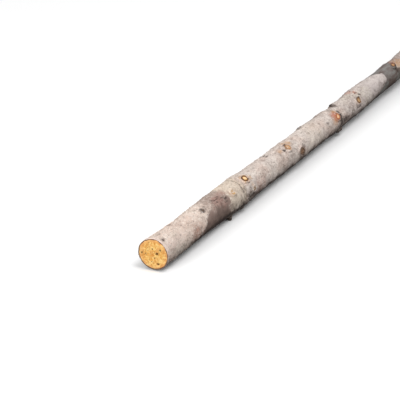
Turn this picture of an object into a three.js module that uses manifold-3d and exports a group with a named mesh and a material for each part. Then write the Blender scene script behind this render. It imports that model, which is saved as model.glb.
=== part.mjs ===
// A barked spruce pole, 1.5 m long and 50 mm thick at its sawn butt, lying on the stubs of its
// cut branches. Millimetres, +Z up. The pole runs along X, with the butt at low X and the thin end
// at high X, and it stands on Z = 0. "At" is a distance from the butt along the pole, and "turn" is
// an angle round it in degrees, 0 on top and 90 on the side that faces -Y.
import * as THREE from "three";
import { mergeVertices } from "three/addons/utils/BufferGeometryUtils.js";
import Module from "manifold-3d";

const wasm = await Module();
wasm.setup();

// Driving dimensions
const LENGTH = 1500;
const BUTT_DIAMETER = 50;
const TIP_DIAMETER = 36.5;
const AXIS_HEIGHT = 28; // of the middle of the butt above the surface that the pole lies on
const AXIS_SIDE = 2.3; // of the middle of the butt from Y = 0, which centres the whole pole on it
const BOW = { side: 3.0, sag: 0.7, wave: 1700 }; // the middle line sways to one side and back
const OVAL = { share: 0.016, turn: 2, twist: 70 }; // the section's longer axis turns along the pole
const RIPPLE = { height: 0.3, waves: 3, pitch: 210 }; // slow unevenness of the bark
const SAW_LEAN = { down: 5, side: 3, reach: 34 }; // degrees off square, lost again within reach
const SIDES = 26;
const STATION_PITCH = 24; // between rings where nothing happens
const STATION_LEAST = 2.2; // rings closer than this become one
const LEDGE_HALF = 1.2; // rings stand this far on each side of a ledge

// A whorl is a year's ring of branches. The pole swells towards it, most on the side of its
// strongest branch, and is thinner just past it.
const WHORLS = [
  { at: 279, swell: 2.0, before: 42, after: 26, turn: -42 },
  { at: 455, swell: 0.5, before: 30, after: 24, turn: 24 },
  { at: 626, swell: 0.9, before: 16, after: 14, turn: 60 },
  { at: 752, swell: 0.6, before: 26, after: 18, turn: 200 },
  { at: 906, swell: 1.2, before: 20, after: 18, turn: -30 },
  { at: 1085, swell: 1.1, before: 30, after: 16, turn: 110 },
  { at: 1262, swell: 1.3, before: 32, after: 14, turn: 190 },
  { at: 1420, swell: 0.9, before: 28, after: 14, turn: 20 },
];
const ONE_SIDED = 0.45; // share of a whorl's swelling that goes with the side

// Ledges are edges of thicker bark, which runs on towards the thin end, or towards the butt where
// run is below zero. Hollows are dips past a whorl and at a torn branch.
const LEDGES = [
  { at: 262, turn: 44, rise: 0.7, run: 60, wide: 62 },
  { at: 526, turn: -16, rise: 1.9, run: 60, wide: 36 },
  { at: 658, turn: -20, rise: 2.3, run: 70, wide: 44 },
  { at: 858, turn: 10, rise: 0.8, run: -70, wide: 58 },
  { at: 1110, turn: 120, rise: 1.6, run: 50, wide: 40 },
  { at: 1300, turn: 250, rise: 1.3, run: 60, wide: 46 },
];
const HOLLOWS = [
  { at: 641, turn: -14, deep: 2.3, long: 13, wide: 40 },
  { at: 640, turn: 66, deep: 0.8, long: 13, wide: 24 },
  { at: 281, turn: 104, deep: 1.5, long: 10, wide: 18 },
];

// Branch stubs: across is the cut face's width, stand is how far the cut stands off the bark.
const SEEN_STUBS = [
  { at: 141, turn: 27, across: 5, stand: 0.7 },
  { at: 233, turn: 40, across: 8, stand: 0.5 },
  { at: 268, turn: 104, across: 9, stand: 1.9 },
  { at: 289, turn: 28, across: 9, stand: 1.0 },
  { at: 293, turn: 76, across: 7, stand: 0.5 },
  { at: 450, turn: 24, across: 11, stand: 0.8 },
  { at: 482, turn: 81, across: 10, stand: 0.7 },
  { at: 541, turn: -16, across: 12, stand: 1.3 },
  { at: 634, turn: 48, across: 13, stand: 1.2 },
  { at: 650, turn: 140, across: 9, stand: 2.4 },
  { at: 727, turn: 51, across: 9, stand: 0.8 },
  { at: 908, turn: 25, across: 12, stand: 1.0 },
];
const REST_STUBS = [
  { at: 233, turn: 155, across: 7 },
  { at: 262, turn: 206, across: 11 },
  { at: 1256, turn: 153, across: 10 },
  { at: 1268, turn: 208, across: 10 },
];
// The far side of each whorl carries stubs that follow the golden angle.
const HIDDEN = { each: 3, firstTurn: 236, stepTurn: 137.5, across: 7.5, stand: 1.1, scatter: 9 };
const HIDDEN_CLEAR = { along: 16, turn: 34 }; // a hidden stub nearer to another one is left out
const STUB = { sides: 10, lean: 0.35, longer: 1.2, flare: 1.3, sunk: 9 };
const COLLAR = { rise: 0.9, reach: 8.5 }; // the bark swells to meet a branch
const REST_REACH = 16; // a resting stub is cut off by the surface well within this length
const EDGE_SOFTNESS = 0.45;
const BLOCK_MARGIN = 40; // the trimming block reaches this far past the pole
const radians = (degrees) => (degrees * Math.PI) / 180;
const bell = (distance, width) => Math.exp(-((distance / width) ** 2));

// The shortest way from one turn to another, in degrees.
const turnBetween = (a, b) => ((a - b + 540) % 360) - 180;

// Stubs on the far side of the whorls, where no other stub is near.
function hiddenStubs(others) {
  const made = [];
  WHORLS.forEach((whorl, year) => {
    for (let k = 0; k < HIDDEN.each; k += 1) {
      const number = year * HIDDEN.each + k;
      const stub = {
        at: whorl.at + HIDDEN.scatter * Math.sin(2.3 * number),
        turn: (HIDDEN.firstTurn + HIDDEN.stepTurn * number) % 360,
        across: HIDDEN.across + 2 * Math.sin(1.7 * number),
        stand: HIDDEN.stand + 0.5 * Math.cos(1.1 * number),
      };
      const near = (other) =>
        Math.abs(other.at - stub.at) < HIDDEN_CLEAR.along &&
        Math.abs(turnBetween(other.turn, stub.turn)) < HIDDEN_CLEAR.turn;
      if (![...others, ...made].some(near)) made.push(stub);
    }
  });
  return made;
}

function allStubs() {
  const resting = REST_STUBS.map((stub) => ({ ...stub, stand: REST_REACH }));
  const shown = [...SEEN_STUBS, ...resting];
  return [...shown, ...hiddenStubs(shown)];
}

const PLACED_STUBS = allStubs();

// 0 before an edge and 1 just after it.
const edgeRise = (distance) => 1 / (1 + Math.exp(-distance / EDGE_SOFTNESS));

// The pole's middle line.
function axisPoint(at) {
  const sway = Math.sin((2 * Math.PI * at) / BOW.wave);
  const side = AXIS_SIDE - BOW.side * sway;
  return new THREE.Vector3(at - LENGTH / 2, side, AXIS_HEIGHT - BOW.sag * sway);
}

function whorlSwelling(at, turn) {
  let sum = 0;
  for (const whorl of WHORLS) {
    const distance = at - whorl.at;
    const side = 1 + ONE_SIDED * Math.cos(radians(turn - whorl.turn));
    sum += whorl.swell * side * bell(distance, distance < 0 ? whorl.before : whorl.after);
  }
  return sum;
}

function ledgeHeight(at, turn) {
  let sum = 0;
  for (const ledge of LEDGES) {
    const distance = (at - ledge.at) * Math.sign(ledge.run);
    const fade = bell(Math.max(distance, 0), ledge.run);
    sum += ledge.rise * edgeRise(distance) * fade * bell(turnBetween(turn, ledge.turn), ledge.wide);
  }
  return sum;
}

function hollowDepth(at, turn) {
  let sum = 0;
  for (const hollow of HOLLOWS) {
    const round = bell(turnBetween(turn, hollow.turn), hollow.wide);
    sum += hollow.deep * bell(at - hollow.at, hollow.long) * round;
  }
  return sum;
}

function collarHeight(at, turn) {
  let sum = 0;
  for (const stub of PLACED_STUBS) {
    const reach = COLLAR.reach + stub.across / 4;
    const round = radians(turnBetween(turn, stub.turn)) * (BUTT_DIAMETER / 2);
    sum += COLLAR.rise * bell(at - stub.at, reach) * bell(round, reach);
  }
  return sum;
}

// Distance of the bark from the middle line.
function barkRadius(at, turn) {
  const taper = THREE.MathUtils.lerp(BUTT_DIAMETER, TIP_DIAMETER, at / LENGTH) / 2;
  const oval = OVAL.share * Math.cos(radians(2 * (turn - OVAL.turn - (OVAL.twist * at) / LENGTH)));
  const wave = Math.sin(radians(RIPPLE.waves * turn) + (2 * Math.PI * at) / RIPPLE.pitch);
  const even = taper * (1 + oval) + RIPPLE.height * wave;
  const raised = whorlSwelling(at, turn) + ledgeHeight(at, turn) + collarHeight(at, turn);
  return even + raised - hollowDepth(at, turn);
}

// A unit vector that points out from the middle line.
function outward(turn) {
  return new THREE.Vector3(0, -Math.sin(radians(turn)), Math.cos(radians(turn)));
}

// The saw went through the butt a little off square, so its top edge stands out furthest.
function barkPoint(at, turn) {
  const radius = outward(turn).multiplyScalar(barkRadius(at, turn));
  const left = Math.max(0, 1 - at / SAW_LEAN.reach);
  const lean = radius.z * Math.tan(radians(SAW_LEAN.down)) + radius.y * Math.tan(radians(SAW_LEAN.side));
  return axisPoint(at).add(radius).add(new THREE.Vector3(-left * lean, 0, 0));
}

// Where the rings of the body lie: an even row, with more at each feature.
function ringStations(stubs) {
  const wanted = [0, LENGTH];
  for (let at = STATION_PITCH; at < LENGTH; at += STATION_PITCH) wanted.push(at);
  for (const { at } of WHORLS) wanted.push(at - 14, at - 5, at, at + 5, at + 10);
  for (const { at } of HOLLOWS) wanted.push(at - 10, at - 5, at, at + 5, at + 10);
  for (const { at, across } of stubs) wanted.push(at - across, at, at + across);
  const edges = LEDGES.flatMap(({ at }) => [at - LEDGE_HALF, at + LEDGE_HALF]);
  const kept = [...edges];
  for (const at of wanted) {
    const inside = at >= 0 && at <= LENGTH;
    if (inside && kept.every((other) => Math.abs(other - at) >= STATION_LEAST)) kept.push(at);
  }
  return kept.sort((a, b) => a - b);
}

// A closed body: rings round the middle line, and a flat sawn face at each end.
function bodyGeometry(stations) {
  const positions = [];
  const indices = [];
  for (const at of stations) {
    for (let side = 0; side < SIDES; side += 1) {
      positions.push(...barkPoint(at, (360 * side) / SIDES).toArray());
    }
  }
  const corner = (ring, side) => ring * SIDES + (side % SIDES);
  for (let ring = 0; ring < stations.length - 1; ring += 1) {
    for (let side = 0; side < SIDES; side += 1) {
      const [a, b] = [corner(ring, side), corner(ring, side + 1)];
      const [c, d] = [corner(ring + 1, side), corner(ring + 1, side + 1)];
      indices.push(a, b, c, b, d, c);
    }
  }
  const butt = positions.length / 3;
  positions.push(...axisPoint(0).toArray(), ...axisPoint(LENGTH).toArray());
  const lastRing = stations.length - 1;
  for (let side = 0; side < SIDES; side += 1) {
    indices.push(butt, corner(0, side + 1), corner(0, side));
    indices.push(butt + 1, corner(lastRing, side), corner(lastRing, side + 1));
  }
  const geometry = new THREE.BufferGeometry();
  geometry.setAttribute("position", new THREE.Float32BufferAttribute(positions, 3));
  geometry.setIndex(indices);
  return geometry;
}

// A cut branch: a short leaning cone, sunk in the pole, whose flat end follows the pole's length.
function stubGeometry({ at, turn, across, stand }) {
  const height = STUB.sunk + stand;
  const foot = across / 2 + STUB.flare;
  const cone = new THREE.CylinderGeometry(across / 2, foot, height, STUB.sides);
  cone.translate(0, height / 2, 0);
  const lean = new THREE.Matrix4().set(
    STUB.longer, STUB.lean, 0, -STUB.lean * STUB.sunk,
    0, 1, 0, 0,
    0, 0, 1, 0,
    0, 0, 0, 1,
  );
  const up = outward(turn);
  const along = new THREE.Vector3(1, 0, 0);
  const sideways = new THREE.Vector3().crossVectors(along, up);
  const root = barkPoint(at, turn).addScaledVector(up, -STUB.sunk);
  const place = new THREE.Matrix4().makeBasis(along, up, sideways).setPosition(root);
  return cone.applyMatrix4(lean).applyMatrix4(place);
}

function toSolid(geometry) {
  const bare = geometry.clone();
  bare.deleteAttribute("normal");
  bare.deleteAttribute("uv");
  const merged = mergeVertices(bare, 1e-4);
  return new wasm.Manifold(
    new wasm.Mesh({
      numProp: 3,
      vertProperties: new Float32Array(merged.attributes.position.array),
      triVerts: new Uint32Array(merged.index.array),
    }),
  );
}

function toGeometry(solid) {
  const mesh = solid.getMesh();
  const geometry = new THREE.BufferGeometry();
  geometry.setAttribute("position", new THREE.BufferAttribute(mesh.vertProperties, 3));
  geometry.setIndex(new THREE.BufferAttribute(mesh.triVerts, 1));
  geometry.computeVertexNormals();
  return geometry;
}

// Everything below the surface that the pole lies on, which leaves a flat spot on a resting stub.
function groundBlock() {
  const reach = LENGTH + 2 * BLOCK_MARGIN;
  const block = new THREE.BoxGeometry(reach, 4 * BLOCK_MARGIN, BLOCK_MARGIN);
  return block.translate(0, 0, -BLOCK_MARGIN / 2);
}

function poleSolid() {
  let pole = toSolid(bodyGeometry(ringStations(PLACED_STUBS)));
  for (const stub of PLACED_STUBS) pole = pole.add(toSolid(stubGeometry(stub)));
  return pole.subtract(toSolid(groundBlock()));
}

const bark = new THREE.MeshStandardMaterial({ color: 0xc9bbaf, roughness: 0.85, metalness: 0 });
const pole = new THREE.Mesh(toGeometry(poleSolid()), bark);
pole.name = "spruce_pole";

const part = new THREE.Group();
part.add(pole);

export default part;
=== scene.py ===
# %% [markdown]
# # A spruce pole
# The pole is a young spruce stem, sawn at both ends, with its branches trimmed close to the bark.
# It grew as one piece, so this lesson treats it as one body and spends its effort on the surface:
# the swellings at each year's ring of branches, torn edges of bark, knots, thin bark scales and
# the golden sawn wood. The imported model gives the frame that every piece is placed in, and its box
# is kept to compare with the finished look.

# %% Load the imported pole
import math

import bpy
import numpy as np
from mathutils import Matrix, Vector


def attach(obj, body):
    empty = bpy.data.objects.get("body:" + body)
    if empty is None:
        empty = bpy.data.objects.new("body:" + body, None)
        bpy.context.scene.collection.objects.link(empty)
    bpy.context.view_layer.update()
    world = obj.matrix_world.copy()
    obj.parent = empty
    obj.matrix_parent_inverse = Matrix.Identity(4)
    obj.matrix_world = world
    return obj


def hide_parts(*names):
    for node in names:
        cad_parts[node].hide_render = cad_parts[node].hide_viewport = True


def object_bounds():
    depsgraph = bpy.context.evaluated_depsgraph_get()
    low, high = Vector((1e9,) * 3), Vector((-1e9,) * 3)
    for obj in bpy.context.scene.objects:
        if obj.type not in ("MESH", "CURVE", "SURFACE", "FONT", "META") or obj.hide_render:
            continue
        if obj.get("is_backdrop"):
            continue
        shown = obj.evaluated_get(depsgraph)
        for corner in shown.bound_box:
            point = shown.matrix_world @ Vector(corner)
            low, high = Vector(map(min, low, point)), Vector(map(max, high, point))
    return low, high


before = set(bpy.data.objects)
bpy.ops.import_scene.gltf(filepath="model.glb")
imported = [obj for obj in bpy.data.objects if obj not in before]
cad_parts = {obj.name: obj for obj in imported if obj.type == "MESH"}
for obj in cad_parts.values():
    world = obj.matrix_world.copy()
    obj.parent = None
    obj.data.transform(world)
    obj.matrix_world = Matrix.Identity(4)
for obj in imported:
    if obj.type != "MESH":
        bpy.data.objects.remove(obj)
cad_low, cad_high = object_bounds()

print("box of the packed pole in metres:", [round(b - a, 4) for a, b in zip(cad_low, cad_high)])

# %% [markdown]
# ## The camera
# A long lens from a few metres away shows the pole with little perspective, looking down on its
# sawn butt. The camera could be aimed by eye, but the ends and edges of the pole in the picture fix
# its place, so it is given as a distance, a bearing and a fall from the middle of the butt.

# %% Camera
MM = 0.001
BUTT = Vector((-750, 2.3, 28)) * MM
BUTT_DISTANCE = 3.489
BEARING = math.radians(27.43)
FALL = math.radians(22.9)
LENS_PIXELS = 2293.3
PICTURE_PIXELS = 400
SENSOR = 36.0
BUTT_PIXEL = (153.0, 254.3)


def camera_axes(bearing, fall):
    """The directions that a level camera looks along, and calls right and up."""
    level = math.cos(fall)
    ahead = Vector((level * math.cos(bearing), level * math.sin(bearing), -math.sin(fall)))
    right = Vector((math.sin(bearing), -math.cos(bearing), 0))
    return ahead, right, right.cross(ahead)


ahead, right, up = camera_axes(BEARING, FALL)
metres_per_pixel = BUTT_DISTANCE / LENS_PIXELS
aside = (BUTT_PIXEL[0] - PICTURE_PIXELS / 2) * metres_per_pixel
below = (BUTT_PIXEL[1] - PICTURE_PIXELS / 2) * metres_per_pixel
camera_data = bpy.data.cameras.new("camera")
camera_data.sensor_width = SENSOR
camera_data.lens = SENSOR * LENS_PIXELS / PICTURE_PIXELS
camera_data.clip_end = 50
camera = bpy.data.objects.new("camera", camera_data)
camera.location = BUTT - ahead * BUTT_DISTANCE - right * aside + up * below
camera.rotation_euler = ahead.to_track_quat("-Z", "Y").to_euler()
bpy.context.scene.collection.objects.link(camera)
bpy.context.scene.camera = camera
print("camera at", [round(v, 3) for v in camera.location], "lens", round(camera_data.lens, 1), "mm")

# %% [markdown]
# ## The form of the pole
# A stem tapers, sways a little and swells where branches grew. These are the same rules as the
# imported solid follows: "at" is millimetres from the butt along the pole, and "turn" is degrees
# round it, 0 on top and 90 on the side that faces the camera. Each rule takes whole arrays, so one
# call gives the radius of every point of the surface.

# %% Taper, sway and whorls
LENGTH = 1500
BUTT_DIAMETER, TIP_DIAMETER = 50, 36.5
AXIS_HEIGHT, AXIS_SIDE = 28, 2.3
SWAY_SIDE, SWAY_DROP, SWAY_WAVE = 3.0, 0.7, 1700
OVAL_SHARE, OVAL_TURN, OVAL_TWIST = 0.024, 2, 70
RIPPLE, RIPPLE_WAVES, RIPPLE_PITCH = 0.3, 3, 210
SAW_DOWN, SAW_SIDE, SAW_REACH = 5, 3, 34
BUTT_FLARE, FLARE_REACH = 0.9, 9  # the butt end spreads a little where it was sawn
ONE_SIDED = 0.45  # share of a whorl's swelling that goes with its strongest branch


def table(names, *rows):
    """Rows of values as dicts with these names. A short row goes without the last names."""
    return [dict(zip(names.split(), row)) for row in rows]


WHORLS = table(
    "at swell before after turn",
    (279, 2.0, 42, 26, -42),
    (455, 0.5, 30, 24, 24),
    (626, 0.9, 16, 14, 60),
    (752, 0.6, 26, 18, 200),
    (906, 1.2, 20, 18, -30),
    (1085, 1.1, 30, 16, 110),
    (1262, 1.3, 32, 14, 190),
    (1420, 0.9, 28, 14, 20),
)


def bell(distance, width):
    """1 at no distance, falling to nothing over a few widths."""
    return np.exp(-((distance / width) ** 2))


def turn_between(a, b):
    """The shortest way from one turn to another, in degrees."""
    return (a - b + 540) % 360 - 180


def middle(at):
    """Side and height of the middle line."""
    sway = np.sin(2 * np.pi * at / SWAY_WAVE)
    return AXIS_SIDE - SWAY_SIDE * sway, AXIS_HEIGHT - SWAY_DROP * sway


def even_radius(at, turn):
    """The tapered, slightly oval stem before anything grows on it."""
    taper = (BUTT_DIAMETER + (TIP_DIAMETER - BUTT_DIAMETER) * at / LENGTH) / 2
    oval = OVAL_SHARE * np.cos(np.radians(2 * (turn - OVAL_TURN - OVAL_TWIST * at / LENGTH)))
    wave = np.sin(np.radians(RIPPLE_WAVES * turn) + 2 * np.pi * at / RIPPLE_PITCH)
    return taper * (1 + oval) + RIPPLE * wave + BUTT_FLARE * bell(at, FLARE_REACH)


def whorl_swelling(at, turn):
    """How far the whorls swell the stem, in mm."""
    total = 0
    for whorl in WHORLS:
        distance = at - whorl["at"]
        side = 1 + ONE_SIDED * np.cos(np.radians(turn - whorl["turn"]))
        width = np.where(distance < 0, whorl["before"], whorl["after"])
        total = total + whorl["swell"] * side * bell(distance, width)
    return total


for at in (0, 279, 600, 1500):
    print(f"diameter at {at} mm: {2 * (even_radius(at, 50) + whorl_swelling(at, 50)):.1f} mm")

# %% [markdown]
# ## Edges of bark and trimmed branches
# Old bark ends in ledges, and dips lie just past a whorl or where a branch was torn away. Each
# trimmed branch leaves a stub in a collar of bark. Those that the picture shows are listed,
# and the far side of every whorl gets more, turned by the golden angle as shoots are.

# %% Ledges, hollows and stubs
LEDGES = table(
    "at turn rise run dip dip_run wide slant overhang",  # slant is mm along for each degree round
    (262, 44, 0.7, 60, 0.3, 10, 62, 0, 0.2),
    (541, -30, 0.7, 18, 0.9, 12, 32, 0, 0.8),
    (669, -22, 0.6, 40, 3.8, 28, 46, -0.2, 1.0),
    (1110, 120, 1.6, 50, 0.6, 16, 40, 0.1, 0.8),
    (1300, 250, 1.3, 60, 0.6, 16, 46, -0.1, 0.8),
)
BULGES = table(
    "at turn high long wide",
    (88, -42, -1.8, 44, 40),
    (208, -42, 1.6, 42, 40),
    (500, -42, -1.3, 26, 36),
    (604, -42, -1.0, 26, 34),
    (702, -42, -2.2, 30, 36),
    (915, -42, -1.9, 60, 44),
    (950, -42, -1.6, 22, 40),
)
HOLLOWS = table(
    "at turn high long wide",
    (640, 66, 0.8, 13, 24),
    (281, 104, 1.5, 10, 18),
    (11, 29, 1.5, 2.0, 4.2),
    (432, 30, 2.2, 2.3, 6),
    (141, 27, 1.0, 4.0, 6),
    (744, 32, 1.2, 2.4, 5),
    (269, 100, 1.6, 3.0, 6),
    (292, 102, 1.4, 4.0, 6),
    (725, 84, 1.2, 3.4, 5),
)
SEEN_STUBS = table(
    "at turn across stand core shade",
    (141, 27, 5, 0.2, "dead", 200),
    (233, 40, 8, 0.4, "tan"),
    (268, 104, 9, 1.4, "covered"),
    (282, 27, 13, 0.9, "bright"),
    (293, 76, 7, 0.5, "healed"),
    (445, 28, 12, 0.7, "ringed", 225),
    (479, 76, 13, 0.6, "broken", 60),
    (541, -16, 7, -0.3, "covered"),
    (634, 53, 12, 1.2, "red", 35),
    (650, 140, 9, 2.4, "broken"),
    (727, 54, 12, 0.8, "olive", -60),
    (906, 26, 9, 0.9, "russet", 75),
)
REST_STUBS = table(
    "at turn across",
    (230, 155, 6),
    (262, 206, 11),
    (1256, 153, 10),
    (1268, 208, 10),
)
HIDDEN_EACH, HIDDEN_FIRST, HIDDEN_STEP = 3, 236, 137.5
HIDDEN_ACROSS, HIDDEN_STAND, HIDDEN_SCATTER = 7.5, 1.1, 9
HIDDEN_CLEAR_ALONG, HIDDEN_CLEAR_TURN = 16, 34
COLLAR_RISE, COLLAR_REACH = 0.9, 8.5
EDGE_SOFTNESS = 0.3
CORES = ("tan", "dead", "healed", "ringed")
SHOWN_UNTIL = 950  # mm from the butt, where the picture's edge cuts the pole off


def is_shown(at, turn):
    """Whether the picture shows this place."""
    return at < SHOWN_UNTIL and (turn < 132 or turn > 292)


def hidden_stubs(others):
    """Stubs on the far side of the whorls, where no other stub is near."""
    made = []
    for number in range(HIDDEN_EACH * len(WHORLS)):
        stub = dict(
            at=WHORLS[number // HIDDEN_EACH]["at"] + HIDDEN_SCATTER * math.sin(2.3 * number),
            turn=(HIDDEN_FIRST + HIDDEN_STEP * number) % 360,
            across=HIDDEN_ACROSS + 2 * math.sin(1.7 * number),
            stand=HIDDEN_STAND + 0.5 * math.cos(1.1 * number),
            core=CORES[number % len(CORES)],
        )
        near = [
            other for other in others + made
            if abs(other["at"] - stub["at"]) < HIDDEN_CLEAR_ALONG
            and abs(turn_between(other["turn"], stub["turn"])) < HIDDEN_CLEAR_TURN
        ]
        if not near and not is_shown(stub["at"], stub["turn"]):
            made.append(stub)
    return made


rest_stubs = [dict(stub, stand=0, core="rest") for stub in REST_STUBS]
stubs = SEEN_STUBS + rest_stubs
stubs = stubs + hidden_stubs(stubs)
print(len(stubs), "stubs,", len(stubs) - len(SEEN_STUBS) - len(REST_STUBS), "of them out of sight")

# %% [markdown]
# ## Uneven bark
# A smooth random field breaks up every rule: it frays the ledges, wavers the edges of stains and
# dents the surface. It could come from a noise texture, but a sum of seeded waves through space has
# no seam round the pole and gives the same numbers in every run.

# %% Random fields and the full surface
PEEL_SMOOTH, PEEL_SLATE = 0.45, 0.75  # mm of bark gone in the peeled zones
LIP_REACH = 3.5  # mm that the lip of a ledge takes to end
EDGE_FRAY = ((1.6, 14, 5), (0.7, 5, 6))  # random fields: mm high, mm coarse, seed
DENTS = ((0.28, 42, 1), (0.16, 15, 2))
WAVER, FINE = (16, 11), (4.5, 12)  # mm coarse and seed of the fields that fray zones and stains
RUBBED_FROM, RUBBED_TO, RUBBED_SLANT = 150, 212, 0.54  # mm, and mm along for each degree
RUBBED_TURNS = (46, 176)
SLATE_FROM, SLATE_TO, SLATE_MIDDLE = 861, 913, 48  # mm, and the turn where it reaches furthest
SLATE_BENDS = (0.0066, 0.0155)  # mm that its edge draws back for each degree squared, on either side
PATCHES = table(  # strength is how far the mask goes, waver and fine how much the two fields fray it
    "mask at turn long wide soft waver fine strength",
    ("smooth", 1130, 240, 60, 17, 0.5, 0.2, 0.1, 0.9),
    ("slate", 1345, 60, 36, 20, 0.3, 0.16, 0.06, 1),
    ("abraded", 196, 26, 22, 11, 0.9, 0.4, 0.25, 1),
    ("abraded", 926, 8, 22, 13, 0.9, 0.3, 0.2, 0.35),
    ("dirt", 838, 92, 28, 12, 1.0, 0.3, 0.2, 0.7),
    # the pale patch near the butt is a painted highlight
    ("fresh", 32, 62, 30, 9, 1.2, 0.3, 0.2, 0.6),
)


def surface_place(at, turn):
    """A point in space for each place on the pole, for the random fields."""
    angle = np.radians(turn)
    return np.stack([at, -22 * np.sin(angle), 22 * np.cos(angle)], -1)


def unevenness(place, size, seed, waves=36):
    """A smooth random field about as coarse as size in mm, mostly between -1 and 1."""
    rng = np.random.default_rng(seed)
    direction = rng.normal(size=(waves, 3))
    direction /= np.linalg.norm(direction, axis=1, keepdims=True)
    pace = 2 * np.pi / size * rng.uniform(0.55, 1.5, (waves, 1))
    phase = rng.uniform(0, 2 * np.pi, waves)
    return np.cos(place @ (direction * pace).T + phase).sum(-1) / math.sqrt(waves)


def patch(at, turn, centre_at, centre_turn, long, wide, soft=0.5, fray=0):
    """1 inside an oval place on the bark and 0 outside. Sizes in mm."""
    round_way = np.radians(turn_between(turn, centre_turn)) * BUTT_DIAMETER / 2
    distance = np.hypot((at - centre_at) / long, round_way / wide) + fray
    return np.clip((1 + soft / 2 - distance) / soft, 0, 1)


def step(value, soft):
    """0 below -soft, 1 above soft and smooth between."""
    share = np.clip(value / soft / 2 + 0.5, 0, 1)
    return share * share * (3 - 2 * share)


def field_sum(place, fields):
    """Random fields added up."""
    return sum(high * unevenness(place, size, seed) for high, size, seed in fields)


def past_ledge(ledge, at, turn, fray):
    """Degrees round from the middle of a ledge, and mm along past its edge."""
    off = turn_between(turn, ledge["turn"])
    return off, at - ledge["at"] - ledge["slant"] * off + fray


def ledge_height(at, turn, fray):
    """How far ledges raise the bark, and how far their lips reach out over the step."""
    raised, lip = 0, 0
    for ledge in LEDGES:
        off, distance = past_ledge(ledge, at, turn, fray)
        side = bell(off, ledge["wide"])
        edge = 1 / (1 + np.exp(-np.clip(distance / EDGE_SOFTNESS, -50, 50)))
        raised = raised + ledge["rise"] * edge * bell(np.maximum(distance, 0), ledge["run"]) * side
        raised = raised - ledge["dip"] * (1 - edge) * bell(np.minimum(distance, 0), ledge["dip_run"]) * side
        lip = lip - ledge["overhang"] * edge * bell(np.maximum(distance, 0), LIP_REACH) * side
    return raised, lip


def soft_sum(places, at, turn):
    """The total height of soft round places, such as bulges or hollows, in mm."""
    total = 0
    for place in places:
        side = bell(turn_between(turn, place["turn"]), place["wide"])
        total = total + place["high"] * bell(at - place["at"], place["long"]) * side
    return total


def collar_height(at, turn):
    """Broad bulges and flats of the outline, and the bark swollen round the stubs."""
    total = soft_sum(BULGES, at, turn)
    for stub in stubs:
        reach = COLLAR_REACH + stub["across"] / 4
        round_way = np.radians(turn_between(turn, stub["turn"])) * BUTT_DIAMETER / 2
        total = total + COLLAR_RISE * bell(at - stub["at"], reach) * bell(round_way, reach)
    return total


def wavers(place):
    """The slow and the fine field that fray the edges of zones and stains."""
    return unevenness(place, *WAVER), unevenness(place, *FINE)


def with_patches(name, mask, at, turn, waver, fine):
    """A mask with the frayed oval patches that the table gives it."""
    for spot in PATCHES:
        if spot["mask"] == name:
            fray = spot["waver"] * waver + spot["fine"] * fine
            here = patch(at, turn, spot["at"], spot["turn"], spot["long"], spot["wide"], spot["soft"], fray)
            mask = np.maximum(mask, spot["strength"] * here)
    return mask


def peeled_zones(at, turn):
    """Where the outer bark has gone: a rubbed smooth zone near the butt and a slate grey one."""
    waver, fine = wavers(surface_place(at, turn))
    down = turn_between(turn, 0)
    facing = np.where(down > -60, down, 200)
    left = RUBBED_FROM - (facing - 43) * RUBBED_SLANT + 2.6 * waver + 1.2 * fine
    right = RUBBED_TO + 4 * waver + 1.5 * fine
    smooth = step(at - left, 2.6) * step(right - at, 5.0)
    smooth = smooth * step(facing - RUBBED_TURNS[0] + 7 * waver, 13) * step(RUBBED_TURNS[1] - facing, 20)
    past = turn_between(turn, SLATE_MIDDLE)
    tongue = SLATE_FROM - np.where(past < 0, *SLATE_BENDS) * past**2 + 1.4 * waver + 0.5 * fine
    ending = SLATE_TO + 1.1 * np.clip(down - SLATE_MIDDLE, 0, 60) + 3 * waver + fine
    slate = step(at - np.maximum(tongue, 800), 0.9) * step(ending - at, 3.0)
    edges = (at, turn, waver, fine)
    return with_patches("smooth", smooth, *edges), with_patches("slate", slate, *edges)


def saw_lean(side, height):
    """How far the saw's lean moves a point along, in mm, from its place about the middle line."""
    return height * math.tan(math.radians(SAW_DOWN)) + side * math.tan(math.radians(SAW_SIDE))


def bark_points(at, turn, rough=1.0):
    """Places of the bark in mm, from arrays of at and turn."""
    at, turn = np.broadcast_arrays(np.asarray(at, float), np.asarray(turn, float))
    place = surface_place(at, turn)
    raised, lip = ledge_height(at, turn, field_sum(place, EDGE_FRAY) * rough)
    radius = even_radius(at, turn) + whorl_swelling(at, turn) + raised
    smooth, slate = peeled_zones(at, turn)
    radius = radius + collar_height(at, turn) - soft_sum(HOLLOWS, at, turn)
    radius = radius - rough * (PEEL_SMOOTH * smooth + PEEL_SLATE * slate)
    radius = radius + rough * field_sum(place, DENTS)
    side, height = middle(at)
    out_y, out_z = -np.sin(np.radians(turn)) * radius, np.cos(np.radians(turn)) * radius
    left = np.maximum(0, 1 - at / SAW_REACH)
    along = at - LENGTH / 2 - left * saw_lean(out_y, out_z) + lip * rough
    return np.stack([along, side + out_y, height + out_z], -1)


sample = bark_points(np.linspace(0, LENGTH, 400)[:, None], np.linspace(0, 360, 90)[None, :])
print("surface spans, mm:", np.ptp(sample.reshape(-1, 3), axis=0).round(1))
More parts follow.
